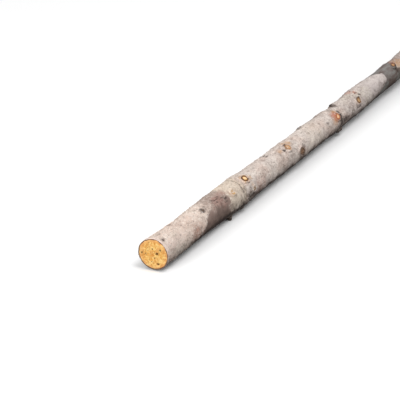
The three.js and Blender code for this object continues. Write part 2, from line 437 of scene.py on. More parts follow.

# %% [markdown]
# ## Stains, scars, bare patches and painted shade
# The picture shows where bark was rubbed smooth, scratched, stained or lost. Some masks also paint
# shade and highlight: on the lower side, on the back, at the foot of each ledge, by two knots and at the
# butt. Each is a mask over the surface, worked out from at and turn, and kept on the mesh as an attribute.
# A painted image would hold the same thing, but rules can be read, moved and frayed, and need no file.

# %% Masks of the bark
MARKS = table(
    "at turn long wide strength",
    (11, 29, 3.0, 2.6, 1.0), (14, 22, 4.0, 1.6, 0.5), (62, -13, 4.5, 2.0, 0.7),
    (80, 105, 3.0, 1.8, 0.9), (52, 52, 2.0, 1.4, 0.5), (96, 66, 2.4, 1.6, 0.45),
    (140, 27, 5.4, 5.0, 1.0), (148, 22, 6.0, 2.4, 0.5), (176, 16, 6.5, 1.1, 0.85),
    (186, 23, 9.0, 1.2, 0.9), (184, 33, 5.0, 1.0, 0.7), (197, 17, 6.0, 1.2, 0.7),
    (201, 30, 6.5, 1.1, 0.8), (209, 40, 4.5, 1.6, 0.9), (206, 53, 4.5, 1.2, 0.6),
    (262, 110, 8.0, 4.0, 0.9), (278, 101, 6.5, 3.4, 0.95), (290, 98, 6.0, 2.8, 0.95),
    (302, 108, 9.0, 3.4, 0.7), (288, 36, 4.5, 1.2, 0.7), (294, 39, 3.0, 1.2, 0.6),
    (391, -16, 5.0, 2.8, 0.95), (390, 0, 4.5, 2.2, 0.95), (432, 30, 3.6, 3.2, 1.0),
    (478, 80, 9.5, 5.6, 0.85), (488, 66, 8.0, 4.0, 0.6), (533, -26, 4.5, 4.5, 0.85),
    # The marks from 646 to 649 mm and from 903 to 911 mm are painted shade: an arc on the tip side of the
    # knot at 634 mm and a swirl below the knot at 906 mm.
    (552, 66, 4.0, 2.0, 0.4), (596, 52, 4.0, 2.4, 0.4), (646, 76, 6.5, 6.5, 1.0),
    (649, 60, 4.6, 5.5, 1.0), (648, 38, 3.4, 4.5, 0.85), (648, 94, 6.0, 7.0, 0.9),
    (662, 92, 18.0, 6.0, 0.7), (620, 126, 26.0, 6.0, 0.8), (742, -13, 3.0, 1.3, 0.7),
    (744, 35, 3.6, 2.4, 1.0), (741, 18, 5.0, 1.6, 0.7), (722, 42, 3.6, 3.2, 0.7),
    (725, 84, 6.0, 1.8, 0.95), (716, 74, 2.0, 5.0, 0.7), (848, 98, 16.0, 4.0, 0.6),
    (903, 34, 4.5, 2.0, 0.95), (908, 47, 4.5, 4.0, 0.95), (911, 63, 4.0, 4.5, 0.9),
    (917, -14, 8.0, 2.0, 0.6),
)
HALOS = table(
    "at turn reach strength kind",
    (233, 40, 7.0, 0.3, "halo"), (282, 27, 8.0, 0.6, "halo"), (299, 31, 4.5, 0.9, "halo"),
    (293, 60, 5.0, 0.3, "halo"), (450, 4, 6.0, 0.7, "halo"), (459, 14, 6.0, 1.0, "halo"),
    (421, 22, 5.0, 0.7, "halo"), (482, 81, 10.0, 0.4, "rust"), (627, 42, 9.0, 1.0, "rust"),
    (629, 52, 9.0, 0.9, "rust"), (637, 27, 6.0, 1.0, "halo"), (622, 64, 7.0, 0.8, "halo"),
    (727, 51, 8.0, 0.4, "halo"), (734, -14, 8.0, 0.55, "rust"), (740, 12, 6.0, 0.6, "rust"),
    (930, 34, 15.0, 0.75, "halo"), (914, 12, 7.0, 0.6, "rust"), (100, 90, 16.0, 0.4, "rust"),
    (320, 88, 16.0, 0.3, "rust"),
)
BELLY_AT = (0, 45, 110, 240, 262, 300, 330, 600, 655, 690, 760, 850, 900, 950, 1000)
BELLY_FROM = (124, 114, 102, 96, 76, 78, 102, 106, 82, 88, 98, 92, 70, 74, 104)  # turn where the dirt and painted shade of the lower side start
UNDERSIDE_SHADE_TURNS, UNDERSIDE_SHADE = (112, 150), (0.85, 0.4)  # painted shade along the lower side, darkest where it begins
DULL_BAND, GREEN_BAND = ((155, 5, 16), (216, 4, 6)), ((212, 3, 5), (266, 2, 4))
PAST_SLATE_BAND, PAPER_BAND = ((900, 0, 5), (962, 0, 16)), ((770, 8, 26), (880, 0, 4))
STRAY_MARKS = 90  # small dark marks and nicks all over the far side and the unseen end
STRAY_SEED = 41


def stray_marks():
    """Seeded marks away from the stretch that the picture shows."""
    rng = np.random.default_rng(STRAY_SEED)
    made = []
    while len(made) < STRAY_MARKS:
        at, turn = rng.uniform(15, LENGTH - 15), rng.uniform(0, 360)
        size = rng.uniform(1.2, 4.2)
        if not is_shown(at, turn):
            strength = rng.uniform(0.4, 0.9)
            made.append(dict(at=at, turn=turn, long=size * 1.7, wide=size, strength=strength))
    return made


def band(at, waver, start, end):
    """1 between two edges along the pole, each its place, its waver and its softness in mm."""
    before = step(at - start[0] - start[1] * waver, start[2])
    return before * step(end[0] + end[1] * waver - at, end[2])


def bark_masks(at, turn):
    """Every mask of the bark, by name."""
    place = surface_place(at, turn)
    waver, fine = wavers(place)
    down = turn_between(turn, 0)
    smooth, slate = peeled_zones(at, turn)
    edges = (at, turn, waver, fine)
    dull = band(at, waver, *DULL_BAND) * step(120 - np.abs(down), 20)
    dull = np.maximum(dull * (0.75 + 0.15 * fine + 0.1 * waver), smooth)
    past_slate = 0.8 * band(at, waver, *PAST_SLATE_BAND) * step(26 - down + 6 * waver, 20)
    dull = np.maximum(dull, past_slate * (0.8 + 0.3 * fine))
    # Painted shade on the back of the pole, turned away from the camera, beyond 560 mm.
    painted_back_shade = 0.9 * step(-24 - down + 4 * waver, 9) * step(at - 560, 90) * step(150 + down, 30)
    dull = np.maximum(dull, painted_back_shade)
    abraded = with_patches("abraded", 0, *edges)
    green = band(at, waver, *GREEN_BAND) * step(110 - np.abs(down), 20)
    green = np.maximum(green, 0.3 * step(unevenness(place, 110, 14) - 0.9, 0.35))
    # Dirt and painted shade: the bark darkens towards the lower side, and so do the lower parts of the
    # smooth and slate zones.
    lower_dirt_and_shade = step(np.abs(down) - np.interp(at, BELLY_AT, BELLY_FROM) + 11 * waver, 24)
    dirt = np.clip(lower_dirt_and_shade * (0.75 + 0.3 * fine), 0, 1)
    dirt = np.maximum(dirt, 0.45 * smooth * step(down - 92 + 6 * waver, 40))
    dirt = np.maximum(dirt, 0.85 * slate * step(down - 64 + 8 * waver, 40))
    dirt = np.maximum(dirt, 0.75 * slate * step(at - 894 + 3 * waver, 12) * step(down - 36, 26))
    dirt = with_patches("dirt", dirt, *edges)
    # Painted shade along the lower side of the pole, where it nears the floor.
    underside_shade = step(np.abs(down) - UNDERSIDE_SHADE_TURNS[0] + 4 * waver, 6) * step(at - 70, 40)
    dark = underside_shade * np.interp(np.abs(down), UNDERSIDE_SHADE_TURNS, UNDERSIDE_SHADE)
    for mark in MARKS + stray_marks():
        spot = patch(at, turn, mark["at"], mark["turn"], mark["long"], mark["wide"], 0.7, 0.22 * fine)
        dark = np.maximum(dark, spot * mark["strength"])
    fray = field_sum(place, EDGE_FRAY)
    # Painted shade: a dark line at the foot of each ledge's step, darker where the step is higher.
    for ledge in LEDGES:
        off, distance = past_ledge(ledge, at, turn, fray)
        seen = np.clip(0.45 + 0.2 * (ledge["rise"] + ledge["dip"]), 0, 0.9)
        dark = np.maximum(dark, seen * bell(distance + 0.8, 1.6) * bell(off, ledge["wide"] * 1.05))
    halo, rust = np.zeros_like(at), np.zeros_like(at)
    for spot in HALOS:
        reach = spot["reach"]
        near = patch(at, turn, spot["at"], spot["turn"], reach, reach * 0.8, 1.3, 0.25 * fine)
        kept = halo if spot["kind"] == "halo" else rust
        np.maximum(kept, near * spot["strength"], out=kept)
    for stub in stubs[len(SEEN_STUBS):]:
        near = patch(at, turn, stub["at"], stub["turn"], stub["across"], stub["across"], 1.4, 0.3 * fine)
        halo = np.maximum(halo, (0 if stub["core"] == "covered" else 0.45) * near)
    # A pale edge of cut bark at each end, partly its own colour and partly a painted highlight, as it is
    # kept to the lit top side; the patch near the butt is a painted highlight.
    fresh = step(3.2 + waver - np.minimum(at, LENGTH - at), 1.2) * step(75 - np.abs(down - 10), 25)
    fresh = with_patches("fresh", fresh, *edges)
    paper = 0.9 * band(at, waver, *PAPER_BAND) * step(86 - np.abs(down - 8), 24) * (1 - slate)
    return dict(smooth=smooth, slate=slate, dull=np.clip(dull, 0, 1), abraded=abraded, green=green,
                dirt=dirt, dark=dark, halo=halo, rust=rust, paper=paper, fresh=fresh)


print(len(MARKS), "marks in the picture,", STRAY_MARKS, "out of it, and", len(HALOS), "stained halos")

# %% [markdown]
# ## The pole's skin
# The skin is rings of points, closer together where the form changes fast. The rings carry on over
# each sawn end as the cut edge of the bark and into a shallow recess that the sawn wood fills.
# Seen from far away the rings could be coarser, but the knots and torn ledges need them close.

# %% Rings, strips and the skin
SIDES = 94
RING_PITCH, KNOT_PITCH, LEDGE_PITCH = 1.9, 1.15, 0.5
LEDGE_NEAR, END_NEAR, PIT_LONGEST = 4, 2, 5
END_ROWS = 3  # rings of the bark's cut edge and of the recess, past each end
BARK_THICK = 1.75
RECESS_DEEP = 2.5
STRIP = 500
STRIP_SHARE = 0.31  # of the map's height for each strip
DISC_SHARE = 0.06


def ring_pitch(at):
    """How far the next ring lies, in mm: closer at ledges and ends, and at the knots and pits in sight."""
    if any(abs(at - ledge["at"]) < LEDGE_NEAR for ledge in LEDGES) or min(at, LENGTH - at) < END_NEAR:
        return LEDGE_PITCH
    details = [(stub["at"], stub["across"]) for stub in stubs if stub["at"] < SHOWN_UNTIL]
    details += [(hollow["at"], LEDGE_NEAR) for hollow in HOLLOWS if hollow["long"] < PIT_LONGEST]
    if any(abs(at - place) < reach for place, reach in details):
        return KNOT_PITCH
    return RING_PITCH


def ring_places():
    """Where the rings lie, in mm from the butt."""
    places = [0.0]
    while places[-1] < LENGTH - LEDGE_PITCH * 1.2:
        places.append(places[-1] + ring_pitch(places[-1]))
    places[-1] = float(LENGTH)
    return np.array(places)


def placed(name, data):
    """An object for a mesh, lamp or other data, in the scene."""
    made = bpy.data.objects.new(name, data)
    bpy.context.scene.collection.objects.link(made)
    return made


def new_piece(name, points, faces, values=None):
    """A smooth mesh object from points in mm, with lists of its attributes' blocks of values."""
    mesh = bpy.data.meshes.new(name)
    mesh.from_pydata((np.asarray(points) * MM).tolist(), [], faces)
    mesh.validate()
    mesh.polygons.foreach_set("use_smooth", [True] * len(mesh.polygons))
    piece = placed(name, mesh)
    for title, blocks in (values or {}).items():
        keep_attribute(piece, title, np.concatenate(blocks))
    return piece


def keep_attribute(piece, name, values):
    """Keeps a number for each point of a piece under a name."""
    made = piece.data.attributes.new(name, "FLOAT", "POINT")
    made.data.foreach_set("value", np.ascontiguousarray(values, np.float32).ravel())


def triangle_count(piece):
    return sum(len(face.vertices) - 2 for face in piece.data.polygons)


OUTWARD = ((0, 0), (0, 1), (1, 1), (1, 0))  # corners of a face, as steps to the next ring and side


def ring_faces(count, sides, first=0, corners=OUTWARD):
    """Four-cornered faces between a count of closed rings of points, the first point given."""
    return [
        tuple(first + (ring + on) * sides + (side + over) % sides for on, over in corners)
        for ring in range(count - 1) for side in range(sides)
    ]


def rim_points(at, turns, inset, depth):
    """A ring just inside the outline of a sawn end, depth mm below its face."""
    outline = bark_points(at, turns)
    side, height = middle(at)
    inward = np.stack([np.zeros_like(turns), side - outline[:, 1], height - outline[:, 2]], -1)
    inward /= np.linalg.norm(inward, axis=1, keepdims=True)
    moved = outline + inward * np.asarray(inset)[:, None]
    lean = 0 if at else 1
    drop = -lean * saw_lean(inward[:, 1], inward[:, 2])
    moved[:, 0] += drop * inset + (depth if at == 0 else -depth)
    return moved


turns = np.arange(SIDES) * 360 / SIDES
rings = ring_places()
at_grid, turn_grid = np.meshgrid(rings, turns, indexing="ij")
skin = bark_points(at_grid, turn_grid)
bark_inset = BARK_THICK + 0.35 * unevenness(surface_place(0 * turns, turns), 9, 21)
chip = np.clip(0.5 + 0.6 * unevenness(surface_place(0 * turns, turns), 7, 22), 0, 1.2)
rows = [
    rim_points(0, turns, bark_inset, RECESS_DEEP),
    rim_points(0, turns, bark_inset, 0.25),
    rim_points(0, turns, 0.5 * bark_inset, 0.1 + 0.5 * chip),
    *skin,
    rim_points(LENGTH, turns, 0.5 * bark_inset, 0.1 + 0.5 * chip),
    rim_points(LENGTH, turns, bark_inset, 0.25),
    rim_points(LENGTH, turns, bark_inset, RECESS_DEEP),
]
rows[3][:, 0] += 0.35 * chip
grid = np.array(rows)
centres = np.stack([grid[0].mean(0), grid[-1].mean(0)])
points = np.concatenate([grid.reshape(-1, 3), centres])
row_count = len(rows)
row_at = np.concatenate([[0] * END_ROWS, rings, [LENGTH] * END_ROWS])
first, last = row_count * SIDES, (row_count - 1) * SIDES
caps = [(first, (c + 1) % SIDES, c) for c in range(SIDES)]
caps += [(first + 1, last + c, last + (c + 1) % SIDES) for c in range(SIDES)]
pole = new_piece("pole_skin", points, ring_faces(row_count, SIDES) + caps)
print(len(rings), "rings,", triangle_count(pole), "triangles")

# %% [markdown]
# ## A flat map of the skin
# Wherever the finish is painted to a picture, each face needs its own place on a flat square. The
# stem is thirty times as long as it is wide, so it lies there as three strips, as if the bark were
# slit along its top, peeled off and cut in three. That keeps more detail than unfolding it into
# many small patches would. The masks go onto the skin's points in the same order as its rings.

# %% Map and masks of the skin
MAP_NAME = "OFBake"
MAP_EDGE, STRIP_FOOT, STRIP_GAP = 0.01, 0.005, 0.012


def strip_place(at, strip, share):
    """Where a place on the bark lies on the map, by its strip and the share of the way round."""
    u = MAP_EDGE + (1 - 2 * MAP_EDGE) * (at - strip * STRIP) / STRIP
    return u, STRIP_FOOT + strip * STRIP_SHARE + (STRIP_SHARE - STRIP_GAP) * share


def keep_map(piece, places):
    """Lays a piece's faces out at these places of the flat map."""
    made = piece.data.uv_layers.new(name=MAP_NAME)
    made.data.foreach_set("uv", np.asarray(places, np.float32).ravel())


def strip_map():
    """Corners of each face on a square map: three strips of bark and a disc for each end."""
    corners = []
    for r in range(row_count - 1):
        on_bark = END_ROWS <= r < row_count - 1 - END_ROWS
        strip = min(int((row_at[r] + row_at[r + 1]) / 2 / STRIP), 2)
        for c in range(SIDES):
            for row, column in ((r, c), (r, c + 1), (r + 1, c + 1), (r + 1, c)):
                on_strip = strip_place(row_at[row], strip, column / SIDES)
                corners.append(on_strip if on_bark else disc_place(row, column))
    for end in (0, row_count - 1):
        for c in range(SIDES):
            pair = (c + 1, c) if end == 0 else (c, c + 1)
            corners.append(disc_centre(end))
            corners.extend(disc_place(end, column) for column in pair)
    return np.array(corners)


def disc_centre(row):
    """The middle of the disc on the map for a ring of either end."""
    return (0.04 if row < END_ROWS + 1 else 0.12, 0.965)


def disc_place(row, column):
    """The ends lie as small discs above the strips, each ring at its own radius."""
    from_edge = min(row, row_count - 1 - row)
    radius = DISC_SHARE / 2 * (0.55, 0.8, 0.9, 1.0)[min(from_edge, END_ROWS)]
    angle = 2 * math.pi * column / SIDES
    u, v = disc_centre(row)
    return (u + radius * math.cos(angle), v + radius * math.sin(angle))


SCALY_ALONG = ((0, 250, 320, 640, 680, 900), (0.95, 0.9, 0.75, 0.65, 0.45, 0.55))  # share of scales left on
keep_map(pole, strip_map())


def keep_on_bark(name, values):
    """Keeps a mask of the bark on the skin, with nothing on its ends."""
    ends = np.zeros((END_ROWS, SIDES))
    keep_attribute(pole, name, np.concatenate([np.concatenate([ends, values, ends]).ravel(), [0, 0]]))


masks = bark_masks(at_grid, turn_grid)
for name, values in masks.items():
    keep_on_bark(name, values)
cut = np.zeros(len(points))
cut[: END_ROWS * SIDES] = cut[(row_count - END_ROWS) * SIDES:] = 1
keep_attribute(pole, "cut", cut)
scaly = (1 - 0.985 * masks["smooth"]) * (1 - 0.985 * masks["slate"]) * (1 - 0.75 * masks["abraded"])
scaly = scaly * (1 - 0.9 * np.minimum(masks["dark"] * 1.6, 1)) * (1 - 0.7 * masks["paper"])
scaly = scaly * np.interp(at_grid, *SCALY_ALONG)
scaly[:2] = scaly[-2:] = 0
keep_on_bark("scaly", scaly)
bumpy = 0.2 + 0.8 * scaly
bumpy[:1] = bumpy[-1:] = 0
keep_on_bark("relief", bumpy)
print("masks:", ", ".join(f"{name} {values.mean():.2f}" for name, values in masks.items()))

# %% [markdown]
# ## Helpers for node trees
# Finishes and Geometry Nodes trees are both graphs. One small helper adds a node, sets its options
# and fills its sockets with values or links, so that each graph below reads from top to bottom.

# %% Node helpers
def put(tree, kind, sockets=None, **options):
    """Adds a node. sockets maps a socket's name or number to a value or to another node's output."""
    made = tree.nodes.new(kind)
    for option, value in options.items():
        setattr(made, option, value)
    for key, value in (sockets or {}).items():
        if isinstance(value, bpy.types.NodeSocket):
            tree.links.new(value, made.inputs[key])
        else:
            made.inputs[key].default_value = value
    return made


def maths(tree, operation, a, b=0.0, clamp=False):
    return put(tree, "ShaderNodeMath", {0: a, 1: b}, operation=operation, use_clamp=clamp).outputs[0]


def times(tree, a, b, clamp=False):
    return maths(tree, "MULTIPLY", a, b, clamp)


def plus(tree, a, b, clamp=False):
    return maths(tree, "ADD", a, b, clamp)


def minus(tree, a, b):
    return maths(tree, "SUBTRACT", a, b)


def mixed(tree, share, a, b, way="MIX"):
    """Colour a turning into colour b by share."""
    return put(tree, "ShaderNodeMix", {0: share, 6: a, 7: b}, data_type="RGBA", blend_type=way).outputs[2]


def between(tree, value, low, high, start=0.0, end=1.0):
    """Value from low..high mapped smoothly to start..end."""
    made = put(tree, "ShaderNodeMapRange", {0: value, 1: low, 2: high, 3: start, 4: end},
               interpolation_type="SMOOTHSTEP")
    return made.outputs[0]


def noise(tree, place, scale, detail=2.0, stretch=(1, 1, 1), turn=0.0, rough=0.55):
    """Fine noise on a place in metres, scale per metre, stretched along the axes."""
    moved = put(tree, "ShaderNodeMapping", {0: place, 3: stretch, 1: (turn, turn * 1.7, -turn)})
    made = put(tree, "ShaderNodeTexNoise", {"Scale": scale, "Detail": detail, "Roughness": rough},
               noise_dimensions="3D")
    tree.links.new(moved.outputs[0], made.inputs["Vector"])
    return made.outputs[0]


def srgb(red, green, blue):
    """A colour named as 0..255 values of a picture, as the linear colour that shaders use."""
    def linear(value):
        share = value / 255
        return share / 12.92 if share <= 0.04045 else ((share + 0.055) / 1.055) ** 2.4
    return (linear(red), linear(green), linear(blue), 1.0)


def new_group(name, kind, inputs, outputs):
    """A node group, its input and its output node. Sockets are (name, type, default) and (name, type)."""
    group = bpy.data.node_groups.new(name, kind)
    for title, socket, default in inputs:
        made = group.interface.new_socket(title, in_out="INPUT", socket_type=socket)
        if default is not None:
            made.default_value = default
    for title, socket in outputs:
        group.interface.new_socket(title, in_out="OUTPUT", socket_type=socket)
    return group, group.nodes.new("NodeGroupInput"), group.nodes.new("NodeGroupOutput")


FLOAT, COLOUR = "NodeSocketFloat", "NodeSocketColor"
VECTOR, SHAPE = "NodeSocketVector", "NodeSocketGeometry"
print("a bark tone of 226, 209, 198 is linear", [round(v, 3) for v in srgb(226, 209, 198)[:3]])

# %% [markdown]
# ## Bark finish
# Young spruce bark is a pale pinkish grey paper of thin scales, with fine light and dark specks.
# The finish is one group, because the skin, the loose scales and the collars round the knots all
# wear it. It reads a place in space, so the pattern runs on from piece to piece, and takes the
# masks as inputs.

# %% Bark group
PALE, GREY, FAR = srgb(217, 198, 185), srgb(208, 196, 188), srgb(190, 178, 172)
SPECK_DARK, SPECK_LIGHT = srgb(112, 95, 87), srgb(240, 230, 221)
SCALE_DARK, SCALE_LIGHT, GRAIN = srgb(112, 94, 84), srgb(244, 235, 226), srgb(120, 104, 95)
STAIN_SHADOW, SLATE_COOL, SLATE_EARTHY = srgb(40, 32, 24), srgb(130, 130, 126), srgb(84, 66, 58)
MOTTLED = ("smooth", "abraded", "slate", "dull")
STAINS = {
    "paper": (srgb(200, 190, 188), 0.6),
    "green": (srgb(208, 192, 168), 0.45),
    # dull bark, and painted shade on the back of the pole
    "dull": (srgb(142, 122, 112), 0.85),
    "smooth": (srgb(122, 100, 91), 0.66),
    "abraded": (srgb(142, 102, 92), 0.6),
    "slate": (srgb(102, 96, 94), 0.9),
    "halo": (srgb(200, 150, 96), 0.66),
    "rust": (srgb(180, 100, 66), 0.78),
    # dirt, and painted shade on the lower side
    "dirt": (srgb(78, 62, 52), 0.8),
    # dark marks, and painted shade on the lower side, at ledges, under plates, in knot creases and on
    # resting stubs
    "dark": (srgb(54, 43, 38), 0.92),
    # pale cut edge of the bark, and painted highlight
    "fresh": (srgb(236, 214, 204), 0.7),
    "cut": (srgb(84, 50, 28), 0.92),
}


MASK_NAMES = tuple(STAINS)


def toned(tree, colour, tone, most, dark, light):
    """A colour turned towards dark or light by a tone between -1 and 1."""
    share = times(tree, maths(tree, "ABSOLUTE", tone), most)
    lighter = maths(tree, "GREATER_THAN", tone, 0.0)
    return mixed(tree, share, colour, mixed(tree, lighter, dark, light))


def make_bark_group():
    """Colour, roughness and height of bark from a place in space and the masks."""
    inputs = [("Place", VECTOR, None), ("Tone", FLOAT, 0.0)]
    inputs += [(name.capitalize(), FLOAT, 0.0) for name in MASK_NAMES]
    outputs = [("Colour", COLOUR), ("Roughness", FLOAT), ("Height", FLOAT)]
    group, given, result = new_group("bark finish", "ShaderNodeTree", inputs, outputs)
    place = given.outputs["Place"]
    along = put(group, "ShaderNodeSeparateXYZ", {0: place}).outputs[0]
    colour = mixed(group, between(group, along, -0.66, -0.42), PALE, GREY)
    colour = mixed(group, between(group, along, -0.2, -0.04), colour, FAR)

    def tint(field, low, high, most, tone):
        """The colour so far, turned towards a tone as a field goes from low to high."""
        return mixed(group, between(group, field, low, high, 0, most), colour, tone)

    warm = noise(group, place, 24, 2, (0.7, 1, 1), 8.3)
    colour = tint(warm, 0.52, 0.68, 0.42, srgb(205, 178, 164))
    colour = tint(warm, 0.47, 0.32, 0.5, srgb(197, 189, 174))
    cloud = noise(group, place, 30, 3, (0.6, 1, 1))
    colour = tint(cloud, 0.42, 0.75, 0.34, srgb(170, 150, 140))
    patchy = noise(group, place, 110, 3, (0.8, 1, 1), 1.3, 0.68)
    colour = tint(patchy, 0.51, 0.68, 0.5, srgb(140, 122, 112))
    colour = tint(patchy, 0.48, 0.32, 0.58, srgb(236, 226, 216))
    peeled = maths(group, "MAXIMUM", given.outputs["Smooth"], given.outputs["Slate"])
    rough_skin = minus(group, 1.0, peeled)
    speck = noise(group, place, 330, 2, (0.85, 1, 1), 2.1)
    dots = between(group, speck, 0.56, 0.7, 0, 0.62)
    colour = mixed(group, times(group, dots, between(group, rough_skin, 0, 1, 0.25, 1)), colour, SPECK_DARK)
    flecks = noise(group, place, 420, 2, (1, 1, 1), 3.7)
    dots = between(group, flecks, 0.55, 0.68, 0, 0.6)
    colour = mixed(group, times(group, dots, between(group, rough_skin, 0, 1, 0.2, 1)), colour, SPECK_LIGHT)
    grain = noise(group, place, 900, 3, (0.5, 1, 1), 5.2)
    edge_noise = minus(group, noise(group, place, 260, 3, (1, 1, 1), 6.1), 0.5)
    for name, (tone, most) in STAINS.items():
        mask = given.outputs[name.capitalize()]
        unsure = times(group, mask, minus(group, 1.0, mask))
        frayed = times(group, times(group, unsure, edge_noise), 7.0)
        frayed = plus(group, mask, frayed, clamp=True)
        clouds = between(group, cloud, 0.35, 0.7, -0.25, 0.3)
        uneven = plus(group, clouds, between(group, patchy, 0.35, 0.65, -0.14, 0.14))
        stain = mixed(group, uneven, tone, STAIN_SHADOW)
        colour = mixed(group, times(group, frayed, most), colour, stain if name in MOTTLED else tone)
    drift = noise(group, place, 60, 3, (0.5, 1, 1), 7.4, 0.7)
    bare = given.outputs["Slate"]
    cool = times(group, bare, between(group, drift, 0.48, 0.6, 0, 0.75))
    colour = mixed(group, cool, colour, SLATE_COOL)
    earthy = times(group, bare, between(group, drift, 0.49, 0.37, 0, 0.75))
    colour = mixed(group, earthy, colour, SLATE_EARTHY)
    colour = toned(group, colour, given.outputs["Tone"], 0.44, SCALE_DARK, SCALE_LIGHT)
    colour = tint(grain, 0.35, 0.75, 0.22, GRAIN)
    group.links.new(colour, result.inputs["Colour"])
    matt = between(group, rough_skin, 0, 1, 0.58, 0.86)
    group.links.new(plus(group, matt, times(group, grain, 0.12)), result.inputs["Roughness"])
    height = plus(group, speck, times(group, grain, 0.6))
    height = times(group, height, between(group, rough_skin, 0, 1, 0.25, 1))
    height = plus(group, height, times(group, given.outputs["Dark"], -0.8))
    group.links.new(height, result.inputs["Height"])
    return group


bark_group = make_bark_group()
print("bark group has", len(bark_group.nodes), "nodes")

# %% [markdown]
# ## Bark material
# The material reads the masks from the piece, hands them to the group and turns the group's height
# into a bump. Weather keeps bark matt, so there is no coat and little shine. A coat of varnish
# would be a quick way to more contrast, but no bare branch has one.

# %% Bark material
def read_attribute(tree, name):
    return put(tree, "ShaderNodeAttribute", attribute_name=name).outputs["Fac"]


def new_material(name):
    """A material, its tree and its shader."""
    made = bpy.data.materials.new(name)
    made.use_nodes = True
    return made, made.node_tree, made.node_tree.nodes["Principled BSDF"]


def wear(tree, shader, finish, bump, distance, shine):
    """Hands what a finish gives to the shader, its height as a bump."""
    height = finish.outputs["Height"]
    raised = put(tree, "ShaderNodeBump", {"Strength": bump, "Distance": distance, "Height": height})
    tree.links.new(finish.outputs["Colour"], shader.inputs["Base Color"])
    tree.links.new(finish.outputs["Roughness"], shader.inputs["Roughness"])
    tree.links.new(raised.outputs[0], shader.inputs["Normal"])
    shader.inputs["Specular IOR Level"].default_value = shine


def bark_material(name, tone=None, bump=0.7):
    """Bark with the masks of the piece, and lighter or darker by the attribute named as its tone."""
    made, tree, shader = new_material(name)
    place = put(tree, "ShaderNodeTexCoord").outputs["Object"]
    finish = put(tree, "ShaderNodeGroup", node_tree=bark_group)
    tree.links.new(place, finish.inputs["Place"])
    for mask in MASK_NAMES:
        tree.links.new(read_attribute(tree, mask), finish.inputs[mask.capitalize()])
    if tone:
        tree.links.new(read_attribute(tree, tone), finish.inputs["Tone"])
    wear(tree, shader, finish, bump, 0.0009, 0.3)
    return made


bark = bark_material("spruce_bark")
scale_bark = bark_material("bark_scales", tone="tone", bump=0.35)
print("materials so far:", bark.name, "and", scale_bark.name)

# %% [markdown]
# ## Sawn wood finish
# Fresh spruce end grain is golden, paler between darker year rings, and fibrous where the saw tore
# it. Branch wood is the same wood, older: tan, grey when dead, red where resin bled. One group
# gives all of these, so the sawn ends and the branch knots match.

# %% Sawn wood group
GOLD, GOLD_PALE, GOLD_DEEP = srgb(238, 180, 92), srgb(255, 216, 134), srgb(186, 110, 36)
PEACH, PIT_BROWN = srgb(234, 168, 112), srgb(84, 48, 20)
FIBRE_DARK, FIBRE_LIGHT = srgb(150, 86, 30), srgb(255, 226, 160)
OLDER_WOOD = {
    "Tan": (srgb(182, 138, 92), 0.8), "Grey": (srgb(82, 70, 60), 0.9),
    "Red": (srgb(178, 98, 70), 0.85), "Pale": (srgb(250, 216, 176), 0.8),
}
WOOD_MASKS = ("Rim", "Pit", "Tan", "Grey", "Red", "Pale", "Tone")
YEAR_RING = 2.1  # mm between year rings


def make_wood_group():
    """Colour, roughness and height of sawn wood, from fresh and golden to grey, red or pitted."""
    inputs = [("Place", VECTOR, None), ("Ring", FLOAT, 0.0)] + [(name, FLOAT, 0.0) for name in WOOD_MASKS]
    outputs = [("Colour", COLOUR), ("Roughness", FLOAT), ("Height", FLOAT)]
    group, given, result = new_group("sawn wood", "ShaderNodeTree", inputs, outputs)
    place = given.outputs["Place"]
    mottle = noise(group, place, 260, 3, (1, 1, 1), 0.4)
    fibre = noise(group, place, 520, 3, (1, 2.6, 0.7), 0.9)
    tuft = noise(group, place, 130, 2, (1, 1, 1), 2.2)
    colour = mixed(group, between(group, mottle, 0.42, 0.58), GOLD, GOLD_PALE)
    colour = mixed(group, between(group, fibre, 0.5, 0.66, 0, 0.85), colour, GOLD_DEEP)
    colour = mixed(group, between(group, tuft, 0.5, 0.7, 0, 0.35), colour, PEACH)
    waver = times(group, minus(group, tuft, 0.5), 5.0)
    ring = times(group, plus(group, given.outputs["Ring"], waver), 2 * math.pi / YEAR_RING)
    year = maths(group, "SINE", ring)
    colour = mixed(group, between(group, year, 0.45, 1.0, 0, 0.26), colour, GOLD_DEEP)
    colour = mixed(group, times(group, given.outputs["Rim"], 0.6), colour, PEACH)
    blob = noise(group, place, 150, 1, (1, 1, 1), 4.4)
    colour = mixed(group, between(group, blob, 0.52, 0.66, 0, 0.55), colour, srgb(252, 216, 142))
    colour = mixed(group, between(group, blob, 0.46, 0.34, 0, 0.4), colour, srgb(206, 128, 56))
    for name, (tone, most) in OLDER_WOOD.items():
        colour = mixed(group, times(group, given.outputs[name], most), colour, tone)
    colour = toned(group, colour, given.outputs["Tone"], 0.6, FIBRE_DARK, FIBRE_LIGHT)
    pitted = times(group, given.outputs["Pit"], 1.5, clamp=True)
    colour = mixed(group, pitted, colour, PIT_BROWN)
    group.links.new(colour, result.inputs["Colour"])
    group.links.new(between(group, fibre, 0.3, 0.7, 0.62, 0.82), result.inputs["Roughness"])
    height = plus(group, fibre, times(group, year, 0.15))
    group.links.new(minus(group, height, given.outputs["Pit"]), result.inputs["Height"])
    return group


wood_group = make_wood_group()
print("wood group has", len(wood_group.nodes), "nodes")

# %% [markdown]
# ## Sawn wood and knot materials
# The sawn ends wear the wood group alone. A knot wears both groups on one mesh: bark on its collar
# and wood on its cut, mixed by a mask, so that there is no seam between them.

# %% Sawn wood and knot materials
def wood_finish(tree, place):
    """The wood group in a material, with the masks of the piece."""
    finish = put(tree, "ShaderNodeGroup", node_tree=wood_group)
    tree.links.new(place, finish.inputs["Place"])
    for name in ("Ring", *WOOD_MASKS):
        tree.links.new(read_attribute(tree, name.lower()), finish.inputs[name])
    return finish


